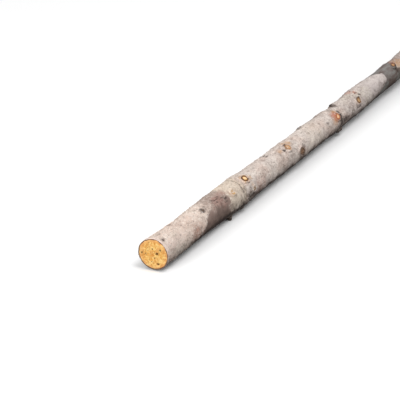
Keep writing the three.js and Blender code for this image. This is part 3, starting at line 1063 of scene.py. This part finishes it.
def sawn_material(name):
    made, tree, shader = new_material(name)
    finish = wood_finish(tree, put(tree, "ShaderNodeTexCoord").outputs["Object"])
    wear(tree, shader, finish, 0.8, 0.0006, 0.25)
    return made


def knot_material(name):
    """Bark on the collar and wood on the cut, mixed by the mask called core."""
    made = bark_material(name)
    tree = made.node_tree
    shader = tree.nodes["Principled BSDF"]
    core = read_attribute(tree, "core")
    finish = wood_finish(tree, put(tree, "ShaderNodeTexCoord").outputs["Object"])
    bark_colour = shader.inputs["Base Color"].links[0].from_socket
    tree.links.new(mixed(tree, core, bark_colour, finish.outputs["Colour"]), shader.inputs["Base Color"])
    bump = shader.inputs["Normal"].links[0].from_node
    bark_height = bump.inputs["Height"].links[0].from_socket
    heights = {0: core, 2: bark_height, 3: finish.outputs["Height"]}
    height = put(tree, "ShaderNodeMix", heights, data_type="FLOAT")
    tree.links.new(height.outputs[0], bump.inputs["Height"])
    return made


sawn_wood = sawn_material("sawn_spruce")
knot_finish = knot_material("branch_knot")
print("knot material has", len(knot_finish.node_tree.nodes), "nodes")

# %% [markdown]
# ## Relief of the bark
# Under the thin scales the bark is pebbled by small blisters and plates. A bump map would only
# shade it, so a Geometry Nodes tree moves the skin's points along their normals by two sizes of
# noise, less where the bark is rubbed smooth. Its sizes are named inputs, so one tree suits any
# stretch of bark.

# %% Relief by Geometry Nodes
NUMBER, FINISH = "NodeSocketInt", "NodeSocketMaterial"


def new_tree(name, inputs):
    """A tree that takes a surface and named inputs, and gives a surface."""
    inputs = [("Surface", SHAPE, None), *inputs]
    tree, given, result = new_group(name, "GeometryNodeTree", inputs, [("Surface", SHAPE)])
    return tree, given.outputs, result.inputs["Surface"]


def named(tree, name):
    return put(tree, "GeometryNodeInputNamedAttribute", {"Name": name}, data_type="FLOAT").outputs[0]


def drawn(tree, low, high, seed, apart):
    """A random number for each point, apart tells the draws of one tree from each other."""
    seeds = plus(tree, seed, float(apart))
    return put(tree, "FunctionNodeRandomValue", {2: low, 3: high, 8: seeds}, data_type="FLOAT").outputs[1]


def shifted(tree, shape, way, far):
    """A shape with its points moved along a vector, so many times its length."""
    offset = put(tree, "ShaderNodeVectorMath", {0: way, "Scale": far}, operation="SCALE").outputs[0]
    return put(tree, "GeometryNodeSetPosition", {"Geometry": shape, "Offset": offset}).outputs[0]


def end_tree(tree, shape, finish, result):
    """Realizes the instances, sets the finish and links the result."""
    whole = put(tree, "GeometryNodeRealizeInstances", {0: shape}).outputs[0]
    dressed = put(tree, "GeometryNodeSetMaterial", {"Geometry": whole, "Material": finish}).outputs[0]
    tree.links.new(dressed, result)


def grown(piece, tree, **values):
    """The plain mesh that a tree makes from a piece. The modifier is removed again."""
    modifier = piece.modifiers.new(tree.name, "NODES")
    modifier.node_group = tree
    sockets = {item.name: item.identifier for item in tree.interface.items_tree if item.in_out == "INPUT"}
    for title, value in values.items():
        modifier[sockets[title.replace("_", " ")]] = value
    view = bpy.context.evaluated_depsgraph_get()
    view.update()
    seen = piece.evaluated_get(view)
    mesh = bpy.data.meshes.new_from_object(seen, preserve_all_data_layers=True, depsgraph=view)
    piece.modifiers.remove(modifier)
    return mesh


def relief_tree():
    """Moves a surface's points out and in by coarse and fine noise."""
    sizes = [(f"{kind} {what}", FLOAT, 0.001) for kind in ("Coarse", "Fine") for what in ("size", "rise")]
    tree, given, result = new_tree("bark relief", [*sizes, ("Seed", FLOAT, 1.0), ("Finish", FINISH, None)])
    place = put(tree, "GeometryNodeInputPosition").outputs[0]
    normal = put(tree, "GeometryNodeInputNormal").outputs[0]
    rise = 0.0
    for kind in ("Coarse", "Fine"):
        scale = maths(tree, "DIVIDE", 1.0, given[f"{kind} size"])
        bumps = put(tree, "ShaderNodeTexNoise", {
            "Vector": place, "W": given["Seed"], "Scale": scale, "Detail": 1.0}, noise_dimensions="4D")
        centred = minus(tree, bumps.outputs[0], 0.5)
        rise = plus(tree, times(tree, centred, given[f"{kind} rise"]), rise)
    rise = times(tree, rise, named(tree, "relief"))
    end_tree(tree, shifted(tree, given["Surface"], normal, rise), given["Finish"], result)
    return tree


relief = relief_tree()
pole.data.materials.append(bark)
pole.data = grown(pole, relief, Coarse_size=0.011, Coarse_rise=0.0016, Fine_size=0.0042, Fine_rise=0.0009,
                  Seed=3.0, Finish=bark)
print("skin after relief:", len(pole.data.vertices), "points")

# %% [markdown]
# ## Bark scales
# Young spruce bark sheds thin round scales, two to five millimetres wide, whose lifted edges catch
# the light. They could be a texture, but from the side only real scales break up the outline. A
# tree scatters them over the skin where the bark is rough, each one a shallow lens of eighteen
# triangles with its own size, tilt and tone, and then turns them all into one mesh.

# %% Scales by Geometry Nodes
SLIM_TO_ROUND = 0.38  # the roundest scales are this much less slim than the slimmest
RAGGED_PACE = 760.0  # waves of the ragged edges, per metre


def scales_tree():
    """Scatters ragged lenses over a surface, each with its own size, slimness, tilt and tone."""
    names = ("Spacing", "Smallest", "Largest", "Thickness", "Lift", "Ragged")
    sizes = [(name, FLOAT, 0.002) for name in names]
    more = [("Most per square metre", FLOAT, 1000.0), ("Slimmest", FLOAT, 0.62), ("Tilt", FLOAT, 0.1),
            ("Seed", NUMBER, 1), ("Finish", FINISH, None)]
    tree, given, result = new_tree("bark scales", sizes + more)
    seed = given["Seed"]
    spots = put(tree, "GeometryNodeDistributePointsOnFaces", {
        "Mesh": given["Surface"], "Distance Min": given["Spacing"],
        "Density Max": given["Most per square metre"],
        "Density Factor": named(tree, "scaly"), "Seed": seed}, distribute_method="POISSON")
    lifted = shifted(tree, spots.outputs["Points"], spots.outputs["Normal"], given["Lift"])
    lens = put(tree, "GeometryNodeMeshUVSphere", {"Segments": 9, "Rings": 2, "Radius": 1.0})
    draw = drawn(tree, 0.0, 1.0, seed, 1)
    width = times(tree, times(tree, draw, draw), minus(tree, given["Largest"], given["Smallest"]))
    width = times(tree, plus(tree, width, given["Smallest"]), 0.5)
    roundest = plus(tree, given["Slimmest"], SLIM_TO_ROUND)
    narrow = times(tree, width, drawn(tree, given["Slimmest"], roundest, seed, 2))
    thick = times(tree, given["Thickness"], drawn(tree, 0.6, 1.3, seed, 3))
    size = put(tree, "ShaderNodeCombineXYZ", {0: width, 1: narrow, 2: thick})
    tilt = given["Tilt"]
    back = times(tree, tilt, -1.0)
    tilts = {axis: drawn(tree, back, tilt, seed, 4 + axis) for axis in (0, 1)}
    spin = put(tree, "ShaderNodeCombineXYZ", {**tilts, 2: drawn(tree, 0.0, 2 * math.pi, seed, 6)})
    own = put(tree, "FunctionNodeEulerToRotation", {0: spin.outputs[0]})
    turned = put(tree, "FunctionNodeRotateRotation", {
        0: spots.outputs["Rotation"], 1: own.outputs[0]}, rotation_space="LOCAL")
    strewn = put(tree, "GeometryNodeInstanceOnPoints", {
        "Points": lifted, "Instance": lens.outputs[0],
        "Rotation": turned.outputs[0], "Scale": size.outputs[0]})
    tone = drawn(tree, -1.0, 1.0, seed, 7)
    tone = times(tree, times(tree, tone, tone), tone)
    kept = put(tree, "GeometryNodeStoreNamedAttribute", {
        "Geometry": strewn.outputs[0], "Name": "tone", "Value": tone}, data_type="FLOAT", domain="INSTANCE")
    whole = put(tree, "GeometryNodeRealizeInstances", {0: kept.outputs[0]}).outputs[0]
    grain = put(tree, "ShaderNodeTexNoise", {"Scale": RAGGED_PACE, "Detail": 1.0}, noise_dimensions="3D")
    centred = put(tree, "ShaderNodeVectorMath", {
        0: grain.outputs["Color"], 1: (0.5, 0.5, 0.5)}, operation="SUBTRACT")
    ragged = shifted(tree, whole, centred.outputs[0], given["Ragged"])
    end_tree(tree, ragged, given["Finish"], result)
    return tree


def strew(host, name, finish, most, **sizes):
    """A piece of scales strewn over a host, at most so many to the square metre. Sizes in metres."""
    mesh = grown(host, scales, Finish=finish, Most_per_square_metre=most, **sizes)
    mesh.name = name
    return placed(name, mesh)


def keep_strips(piece):
    """Gives a piece that lies on the skin the skin's strips as a map, each face laid out whole."""
    mesh = piece.data
    places = np.empty(3 * len(mesh.vertices))
    mesh.vertices.foreach_get("co", places)
    places = places.reshape(-1, 3) / MM
    at = places[:, 0] + LENGTH / 2
    side, height = middle(at)
    turn = np.degrees(np.arctan2(side - places[:, 1], places[:, 2] - height))
    corner, start, count = np.empty(len(mesh.loops), int), *np.empty((2, len(mesh.polygons)), int)
    mesh.loops.foreach_get("vertex_index", corner)
    mesh.polygons.foreach_get("loop_start", start)
    mesh.polygons.foreach_get("loop_total", count)
    face_at = np.repeat(np.add.reduceat(at[corner], start) / count, count)
    face_turn = np.repeat(turn[corner[start]] % 360, count)
    strip = np.clip(face_at // STRIP, 0, 2)
    round_way = (face_turn + turn_between(turn[corner], face_turn)) / 360
    u, v = strip_place(at[corner], strip, round_way)
    keep_map(piece, np.stack([u, v], -1))


scales = scales_tree()
bark_scales = strew(pole, "bark_scales", scale_bark, 90000.0, Spacing=0.0020, Smallest=0.0018,
                    Largest=0.0054, Thickness=0.0004, Lift=0.0001, Ragged=0.0024, Tilt=0.11, Seed=7)
keep_strips(bark_scales)
print("scales:", triangle_count(bark_scales), "triangles")

# %% [markdown]
# ## Branch knots
# A trimmed branch shows a lip of bark, a crease and the cut wood inside it, slightly hollow
# and often ragged. The crease is darkened with painted shade, on some knots more on one side.
# Each is a small turned form laid over the stub of the imported solid, stretched along the pole
# and roughened. Dead stubs are grey and broken, healed ones closed by bark, and the four that the
# pole lies on reach down to the floor, are flat there and are darkened with painted shade.

# %% Knots
KNOT_SIDES = 34
FOOT_DEEP = 3.5  # mm that a knot's foot reaches into the pole
STUB_LONGER, STUB_LEAN = 1.2, 0.35
LIP_PROFILE = (  # mm out from the cut's edge, mm up, share of the stand, then how much wood and painted shade of the crease
    (3.4, -1.9, 0, 0, 0), (2.5, -0.35, 0, 0, 0), (1.7, 0.2, 0.4, 0, 0), (0.95, 0.35, 0.8, 0, 0),
    (0.35, 0.1, 0.6, 0, 0), (-0.1, -0.6, 0.4, 0.4, 1), (-0.5, -0.15, 0.95, 1, 0.35),
)
LIP_TOP = (0, 0.2, 0.8, 1.0, 1.0)  # how much of each of the first rings is lip
WOOD_SHARES = (0.86, 0.74, 0.62, 0.5, 0.38, 0.27, 0.16, 0.07)
TINT_NAMES = ("tan", "grey", "red", "pale")
KNOT_KINDS = {row["kind"]: row for row in table(
    # ragged in mm, the share of the radius that is core, how much painted shade darkens the crease, how
    # dark a ring of wood, how many specks, how tan the lip, how much wood shows, and the four tints inside
    # and near the rim
    "kind ragged middle crease ring pitted halo wood inside outside",
    ("bright", 0.15, 0.44, 0.75, 0.8, 0, 0.9, 1, (0.1, 0, 0, 0.9), (0.6, 0.3, 0, 0)),
    ("tan", 0.2, 0.5, 0.35, 0, 0, 0.4, 0.55, (0.9, 0.15, 0, 0.5), (0.8, 0.12, 0, 0)),
    ("dead", 0.5, 0.5, 1, 0, 0.9, 0, 0.85, (0.4, 1, 0, 0), (0.6, 0.95, 0, 0)),
    ("broken", 0.7, 0.5, 1, 0, 0.9, 0, 0.85, (0.9, 0.9, 0.2, 0.1), (0.9, 0.95, 0, 0)),
    ("ringed", 0.3, 0.6, 1, 0.12, 0.3, 0.7, 1, (1, 0.3, 0.4, 0.5), (1, 0.45, 0.3, 0.1)),
    ("red", 0.3, 0.42, 1, 0, 0, 0.3, 1, (0.5, 0, 0.4, 0.7), (0.5, 0.1, 1, 0)),
    ("russet", 0.4, 0.4, 1, 0.5, 0.35, 0, 1, (0.8, 0.15, 0.3, 0.3), (0.8, 0.6, 0.4, 0)),
    ("olive", 0.35, 0.5, 1, 0.35, 0.4, 0.3, 1, (1, 0.25, 0, 0.35), (1, 0.7, 0, 0)),
    ("healed", 0.2, 0.5, 1, 0, 0, 0, 0.75, (1, 0.6, 0, 0), (1, 0.4, 0, 0)),
    ("covered", 0.3, 0.5, 1, 0, 0, 0, 1, (0, 0, 0, 0), (0, 0, 0, 0)),
    ("rest", 0.05, 0.5, 1, 0, 0, 0, 1, (0.7, 0.85, 0, 0), (0.7, 0.8, 0, 0)),
)}
KNOT_MASKS = ("smooth", "slate", "dull", "abraded", "green", "dirt", "rust", "paper", "fresh")


def outward(turn):
    """The direction away from the middle line."""
    return np.array([0, -math.sin(math.radians(turn)), math.cos(math.radians(turn))])


def knot_rings(stub):
    """Rings of one knot as (radius, height, core, crease) from its foot to its middle."""
    half, stand = stub["across"] / 2, stub["stand"]
    lip = [(half + out, rise + share * stand, *masks) for out, rise, share, *masks in LIP_PROFILE]
    return lip + [(half * share, stand - 0.25 * (1 - share), 1, 0) for share in WOOD_SHARES]


def knot_surface(stub, number):
    """Points in mm and attribute values of one knot."""
    kind = KNOT_KINDS[stub["core"]]
    angle = np.arange(KNOT_SIDES) * 2 * np.pi / KNOT_SIDES
    rings = knot_rings(stub)
    radius, height, core, crease = (np.array(column)[:, None] for column in zip(*rings))
    own_place = 40 * number + 0 * radius * angle  # far from the other knots in the random fields
    seed_place = np.stack([radius * np.cos(angle), radius * np.sin(angle), own_place], -1)
    wobble = unevenness(seed_place, 9, 31)
    rough = unevenness(seed_place, 2.6, 32)
    radius = radius * (1 + 0.07 * wobble)
    crumbs = unevenness(seed_place, 1.5, 34)
    on_bark = 0.24 * rough + 0.14 * crumbs
    height = height + 0.2 * wobble + kind["ragged"] * rough * core + on_bark * (1 - core)
    along, aside = radius * np.cos(angle) * STUB_LONGER, radius * np.sin(angle)
    if stub["core"] == "healed":
        closing = bell(along + 0.5 * wobble, 0.9)
        crease = np.maximum(crease * 0.6, closing * core)
        height = height - 0.7 * closing * core + 0.3 * core
    if stub["core"] == "covered":
        crease, core = 0.3 * crease, 0 * core
    core = core * kind["wood"]
    along = along + STUB_LEAN * height
    up = outward(stub["turn"])
    base = bark_points(stub["at"], stub["turn"], rough=0)
    level = base + along[..., None] * np.array([1, 0, 0]) + aside[..., None] * np.cross([1, 0, 0], up)
    if stub["core"] == "rest":
        down = -level[..., 2] / up[2]
        settled = np.clip((np.arange(len(rings))[:, None] - 1) / 4, 0, 1)
        height = height * (1 - settled) + (down - 0.02 * (1 - core)) * settled
        height = np.where(np.arange(len(rings))[:, None] >= 5, down, np.minimum(height, down))
    points = level + height[..., None] * up
    crease = (crease + 0 * radius) * kind["crease"]
    lip = np.array([*LIP_TOP, *[0.0] * (len(rings) - len(LIP_TOP))])[:, None]
    # Painted shade: the crease and the lip darken on the side of the knot that the shade angle points to.
    if "shade" in stub:
        towards = np.cos(angle - math.radians(stub["shade"]))
        crease = crease * (0.55 + 0.45 * towards) + lip * np.clip(towards + 0.25 * wobble, 0, 1) ** 2
    share = radius / (stub["across"] / 2)
    outer = step(share - kind["middle"] + 0.12 * rough, 0.14)
    values = dict(core=core + 0 * radius, pit=0.9 * crease * (share < 1.05), dark=crease, ring=radius / 1.6)
    specks = np.clip(1.3 * unevenness(seed_place, 1.7, 33) - 0.3, 0, 1) * kind["pitted"]
    values["pit"] = np.maximum(values["pit"], specks * core)
    dark_ring = kind["ring"] * bell(share - 0.8 + 0.05 * wobble, 0.2)
    values["pit"] = np.maximum(values["pit"], dark_ring * core)
    values["scaly"] = np.clip(lip * 1.6, 0, 1) * (1 - crease) * (share > 1.12) * (points[..., 2] > 2)
    # Painted shade on the stubs that the pole rests on, where they meet the floor.
    if stub["core"] == "rest":
        values["dark"] = np.maximum(values["dark"], 0.9)
    values["halo"] = lip * kind["halo"] * (share < 1.4) * (0.7 + 0.3 * wobble)
    if stub["core"] == "tan":
        values["core"] = values["core"] * (0.5 + 1.1 * outer)
    for name, inside, outside in zip(TINT_NAMES, kind["inside"], kind["outside"]):
        values[name] = inside + (outside - inside) * outer
    return points, values, base, up


def knot_piece(name, stubs):
    """All the knots as one piece. Each has a foot inside the pole and wears the masks of its place."""
    points, faces, values = [], [], {}
    for number, stub in enumerate(stubs):
        grid, own, base, up = knot_surface(stub, number)
        first = sum(len(block) for block in points)
        block = np.concatenate([grid.reshape(-1, 3), [grid[-1].mean(0), base - FOOT_DEEP * up]])
        points.append(block)
        faces += ring_faces(len(grid), KNOT_SIDES, first)
        top, bottom = first + len(block) - 2, first + len(block) - 1
        for c in range(KNOT_SIDES):
            after = (c + 1) % KNOT_SIDES
            faces.append((top - KNOT_SIDES + c, top - KNOT_SIDES + after, top))
            faces.append((first + after, first + c, bottom))
        side, height = middle(stub["at"])
        turn_here = np.degrees(np.arctan2(-(block[:, 1] - side), block[:, 2] - height))
        bark_here = bark_masks(block[:, 0] + LENGTH / 2, turn_here)
        for mask in KNOT_MASKS:
            values.setdefault(mask, []).append(bark_here[mask])
        for mask in ("dark", "halo"):
            own[mask] = np.maximum(own[mask], 0.8 * bark_here[mask][:-2].reshape(own[mask].shape))
        for mask, share in own.items():
            values.setdefault(mask, []).append(np.append(share.ravel(), [share.ravel()[-1], 0]))
    return new_piece(name, np.concatenate(points), faces, values)


def small_scales(host, name, seed):
    """Smaller, denser scales for the collars and plates."""
    return strew(host, name, scale_bark, 140000.0, Spacing=0.0017, Smallest=0.0016, Largest=0.0042,
                 Thickness=0.00036, Lift=0.0001, Ragged=0.0009, Tilt=0.14, Seed=seed)


knots = knot_piece("branch_knots", stubs)
knots.data.materials.append(knot_finish)
collar_scales = small_scales(knots, "collar_scales", 11)
for piece in (knots, collar_scales):
    print(piece.name, triangle_count(piece), "triangles")

# %% [markdown]
# ## Lifted plates of bark
# At two ledges in the picture, and at others out of sight, a plate of bark has come loose: its
# front edge stands clear of the stem with a dark gap beneath, and its back edge is still grown on.
# A ledge in the skin alone can't have a gap, so each plate is a thin slab of its own that follows
# the skin and rises towards its free edge.

# %% Lifted plates
PLATES = table(
    "at turn long wide slant lift thick keep",
    (539, -31, 20, 14, 0, 0.2, 0.7, 547),
    (665, -18, 26, 28, -4, 0.5, 0.9, 674),
    (1106, 120, 26, 30, 3, 1.2, 0.9, 1115),
    (1297, 250, 24, 34, -3, 1.1, 0.9, 1305),
)
PLATE_STEPS, PLATE_ROWS = 30, 16


def plate_block(plate, number):
    """Top and bottom of one plate as grids of points in mm, and where they lie."""
    back = np.linspace(0, 1, PLATE_ROWS)[:, None]
    across = np.linspace(-1, 1, PLATE_STEPS)[None, :]
    turn = plate["turn"] + plate["wide"] * across + 0 * back
    fray = unevenness(np.stack([22 * across[0], 0 * across[0], 9.0 * number + 0 * across[0]], -1), 7, 71)
    slant = plate["slant"] * across
    at = plate["at"] + slant + 0.9 * fray[None, :] + 5 * across**4 + plate["long"] * back
    kept = np.maximum(at, plate["keep"] + slant)
    base = bark_points(kept, turn)
    base[..., 0] += at - kept
    free = (1 - back) ** 1.3 * (1 - across**4)
    height = plate["lift"] * free + 0.3 - 1.3 * np.maximum(back**3, across**6)
    height = height + 0.12 * unevenness(surface_place(at, turn), 5, 72)
    out = np.stack([0 * turn, -np.sin(np.radians(turn)), np.cos(np.radians(turn))], -1)
    thick = plate["thick"] * (0.35 + 0.65 * np.minimum(1, 6 * back + 0.2)) * (1 + 0 * across)
    top = base + out * height[..., None]
    return top, top - out * thick[..., None], at, turn


def plate_piece(name):
    """All the plates as one piece, with painted shade beneath and along the free edge."""
    points, faces, values = [], [], {}
    for number, plate in enumerate(PLATES):
        top, bottom, at, turn = plate_block(plate, number)
        first = sum(len(block) for block in points)
        size = PLATE_ROWS * PLATE_STEPS
        points.append(np.concatenate([top.reshape(-1, 3), bottom.reshape(-1, 3)]))
        for r in range(PLATE_ROWS - 1):
            for c in range(PLATE_STEPS - 1):
                a = first + r * PLATE_STEPS + c
                quad = (a, a + 1, a + PLATE_STEPS + 1, a + PLATE_STEPS)
                faces.append(quad)
                faces.append(tuple(corner + size for corner in quad[::-1]))
        number_of = first + np.arange(size).reshape(PLATE_ROWS, PLATE_STEPS)
        edge = [*number_of[0], *number_of[1:, -1], *number_of[-1, -2::-1], *number_of[-2:0:-1, 0]]
        edge = [int(corner) for corner in edge]
        for a, b in zip(edge, edge[1:] + edge[:1]):
            faces.append((b, a, a + size, b + size))
        here = bark_masks(at, turn)
        # Painted shade along each plate's free edge, and over its whole underside.
        rim = np.zeros_like(at)
        rim[:1] = 0.8
        top_dark_and_edge_shade = np.maximum(0.25 * here["dark"], rim)
        for mask, share in here.items():
            both = [top_dark_and_edge_shade, np.ones_like(at)] if mask == "dark" else [share, share]
            values.setdefault(mask, []).append(np.concatenate([part.ravel() for part in both]))
        scaly_top = 0.7 * (at > at[:1] + 1)
        values.setdefault("scaly", []).append(np.concatenate([scaly_top.ravel(), np.zeros(size)]))
    return new_piece(name, np.concatenate(points), faces, values)


plates = plate_piece("bark_plates")
plates.data.materials.append(bark)
plate_scales = small_scales(plates, "plate_scales", 13)
for piece in (plates, plate_scales):
    print(piece.name, triangle_count(piece), "triangles")

# %% [markdown]
# ## Sawn ends
# The saw left each end flat but fibrous, with small pits where fibres tore out. The wood is a disc
# of its own, seated in the ring of bark. Its face is worked out point by point: shallow saw
# grooves, noise for torn fibres, and the pits where the picture shows them.

# %% Sawn discs
FACE_RINGS = 46
BUTT_PITS = table(
    "side above wide deep",
    (-6.4, 1.5, 1.9, 1.2), (-12.0, 8.3, 1.3, 0.9), (-7.5, -15.9, 1.6, 1.1), (19.0, -0.4, 1.3, 0.8),
    (-2.0, -6.8, 0.75, 0.5), (3.1, -13.2, 0.75, 0.5), (12.4, -1.0, 0.75, 0.4), (0.8, 8.7, 1.0, 0.3),
)
TIP_PITS = table("side above wide deep", (5.0, -6.0, 0.9, 0.7), (-8.0, 3.0, 0.7, 0.5))
GROOVE_PITCH, GROOVE_DEEP, GROOVE_ANGLE = 2.3, 0.09, math.radians(24)
TORN = 0.2


def sawn_disc(name, at, pits):
    """The sawn wood of one end, with its pits as places from the middle of the face in mm."""
    depth_way = 1 if at == 0 else -1
    rim = rim_points(at, turns, bark_inset + 0.04, 0.0)
    floor_ring = rim_points(at, turns, bark_inset + 0.04, RECESS_DEEP - 0.15)
    centre = rim.mean(0)
    shares = 1 - np.linspace(0, 1, FACE_RINGS) ** 0.9
    shares = shares[:-1]
    face = centre + shares[:, None, None] * (rim - centre)
    side, above = face[..., 1] - centre[1], face[..., 2] - centre[2]
    place = np.stack([side, above, 0 * side + at], -1)
    fibres = unevenness(place * [1, 0.45, 1], 1.5, 51, 60) + 0.7 * unevenness(place, 3.2, 52)
    across = side * math.cos(GROOVE_ANGLE) + above * math.sin(GROOVE_ANGLE)
    across = across + 0.5 * unevenness(place, 12, 53)
    low = GROOVE_DEEP * (1 + np.sin(2 * np.pi * across / GROOVE_PITCH)) - TORN * 0.5 * fibres
    pit_mask = np.zeros_like(side)
    for pit in pits:
        away = np.hypot(side - pit["side"], (above - pit["above"]) * 1.15)
        away = away + 0.25 * unevenness(place, 1.6, 54)
        low = low + pit["deep"] * bell(away, pit["wide"])
        pit_mask = np.maximum(pit_mask, bell(away, pit["wide"] * 1.05))
    edge = np.clip(1 - (1 - shares[:, None]) / 0.03, 0, 1) + 0 * side
    face[..., 0] += depth_way * (np.clip(low, -0.25, 2) + 0.35 * edge)
    grid = np.concatenate([[floor_ring], face])
    ends = [centre + [depth_way * 0.1, 0, 0], floor_ring.mean(0)]
    block = np.concatenate([grid.reshape(-1, 3), ends])
    corners = ((0, 0), (1, 0), (1, 1), (0, 1))
    faces = ring_faces(len(grid), SIDES, 0, corners if at == 0 else corners[::-1])
    top = len(grid) * SIDES
    for c in range(SIDES):
        after = (c + 1) % SIDES
        for cap in ((top - SIDES + c, top, top - SIDES + after), (c, after, top + 1)):
            faces.append(cap if at == 0 else cap[::-1])
    radius = np.hypot(side, above)
    near_rim = bell(1 - shares, 0.16)[:, None] + 0 * side
    torn = (1 - pit_mask) * (1 - near_rim)
    floor_row = np.zeros(SIDES)
    piece = new_piece(name, block, faces, {
        "ring": [radius[0], radius.ravel(), [0, 0]],
        "rim": [floor_row + 1, near_rim.ravel(), [0, 1]],
        "pit": [floor_row, pit_mask.ravel(), [0, 0]],
        "scaly": [floor_row, torn.ravel(), [1, 0]],
    })
    piece.data.materials.append(sawn_wood)
    return piece


butt_cut = sawn_disc("butt_cut", 0, BUTT_PITS)
tip_cut = sawn_disc("tip_cut", LENGTH, TIP_PITS)


def torn_fibres(host, name, seed):
    """Slivers that the saw tore up, grown by the same tree as the scales."""
    return strew(host, name, sawn_wood, 600000.0, Spacing=0.0009, Smallest=0.0012, Largest=0.0034,
                 Thickness=0.0003, Lift=0.00002, Ragged=0.0007, Tilt=0.3, Slimmest=0.2, Seed=seed)


butt_fibres = torn_fibres(butt_cut, "butt_fibres", 17)
tip_fibres = torn_fibres(tip_cut, "tip_fibres", 19)
for piece in (butt_cut, tip_cut, butt_fibres, tip_fibres):
    print(piece.name, triangle_count(piece), "triangles")

# %% [markdown]
# ## Floor and light
# The pole lies on plain pale paper. White surroundings light it from all sides, as a light tent
# does, and two soft lamps add a lit top and a bright sawn face. The paper and the surroundings look
# white to the camera but are darker to the light that bounces, so the lower side of the pole stays
# dark. At the end each piece rides the pole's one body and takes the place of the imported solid.

# %% Floor, light and finish
PAPER_SEEN, PAPER_LIT = 0.92, 0.12  # grey of the paper, as the camera sees it and as light meets it
TENT_LIT, TENT_SEEN = 0.68, 1.0  # strength of the surroundings
FLOOR_HALF, FLOOR_DROP = 30, 0.0004


def soft_light(name, place, aim, size, power):
    """A square lamp that looks from a place at an aim."""
    lamp = bpy.data.lights.new(name, "AREA")
    lamp.size, lamp.energy = size, power
    made = placed(name, lamp)
    made.location = place
    made.rotation_euler = (Vector(aim) - Vector(place)).to_track_quat("-Z", "Y").to_euler()


floor_mesh = bpy.data.meshes.new("floor")
corners = [(x * FLOOR_HALF, y * FLOOR_HALF, 0) for x, y in ((-1, -1), (1, -1), (1, 1), (-1, 1))]
floor_mesh.from_pydata(corners, [], [(0, 1, 2, 3)])
floor = placed("floor", floor_mesh)
floor.location.z = -FLOOR_DROP
floor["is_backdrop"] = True
paper, paper_tree, paper_shader = new_material("paper")
paper_shader.inputs["Roughness"].default_value = 0.9
seen = put(paper_tree, "ShaderNodeLightPath").outputs["Is Camera Ray"]
greys = [(*[grey] * 3, 1) for grey in (PAPER_LIT, PAPER_SEEN)]
paper_tree.links.new(mixed(paper_tree, seen, *greys), paper_shader.inputs["Base Color"])
floor_mesh.materials.append(paper)
world = bpy.data.worlds.new("studio")
bpy.context.scene.world = world
world.use_nodes = True
background = world.node_tree.nodes["Background"].inputs
background[0].default_value = (1, 1, 1, 1)
seen = put(world.node_tree, "ShaderNodeLightPath").outputs["Is Camera Ray"]
brightness = between(world.node_tree, seen, 0.0, 1.0, TENT_LIT, TENT_SEEN)
world.node_tree.links.new(brightness, background["Strength"])
soft_light("overhead", (-0.9, -1.7, 3.8), (-0.2, 0, 0), 2.2, 88)
soft_light("butt_light", (-4.2, 0.4, 1.2), (-0.75, 0, 0), 1.6, 98)
bpy.context.scene.view_settings.view_transform = "Standard"

slots = {
    "bark": (pole, bark_scales, collar_scales, knots, plates, plate_scales),
    "sawn_wood": (butt_cut, tip_cut, butt_fibres, tip_fibres),
}
for slot, piece in [(slot, piece) for slot, pieces in slots.items() for piece in pieces]:
    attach(piece, "root")
    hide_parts("spruce_pole")
low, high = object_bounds()
for title, box in (("visual box", (*low, *high)), ("packed box", (*cad_low, *cad_high))):
    print(title, "in mm:", [round(edge / MM, 2) for edge in box])
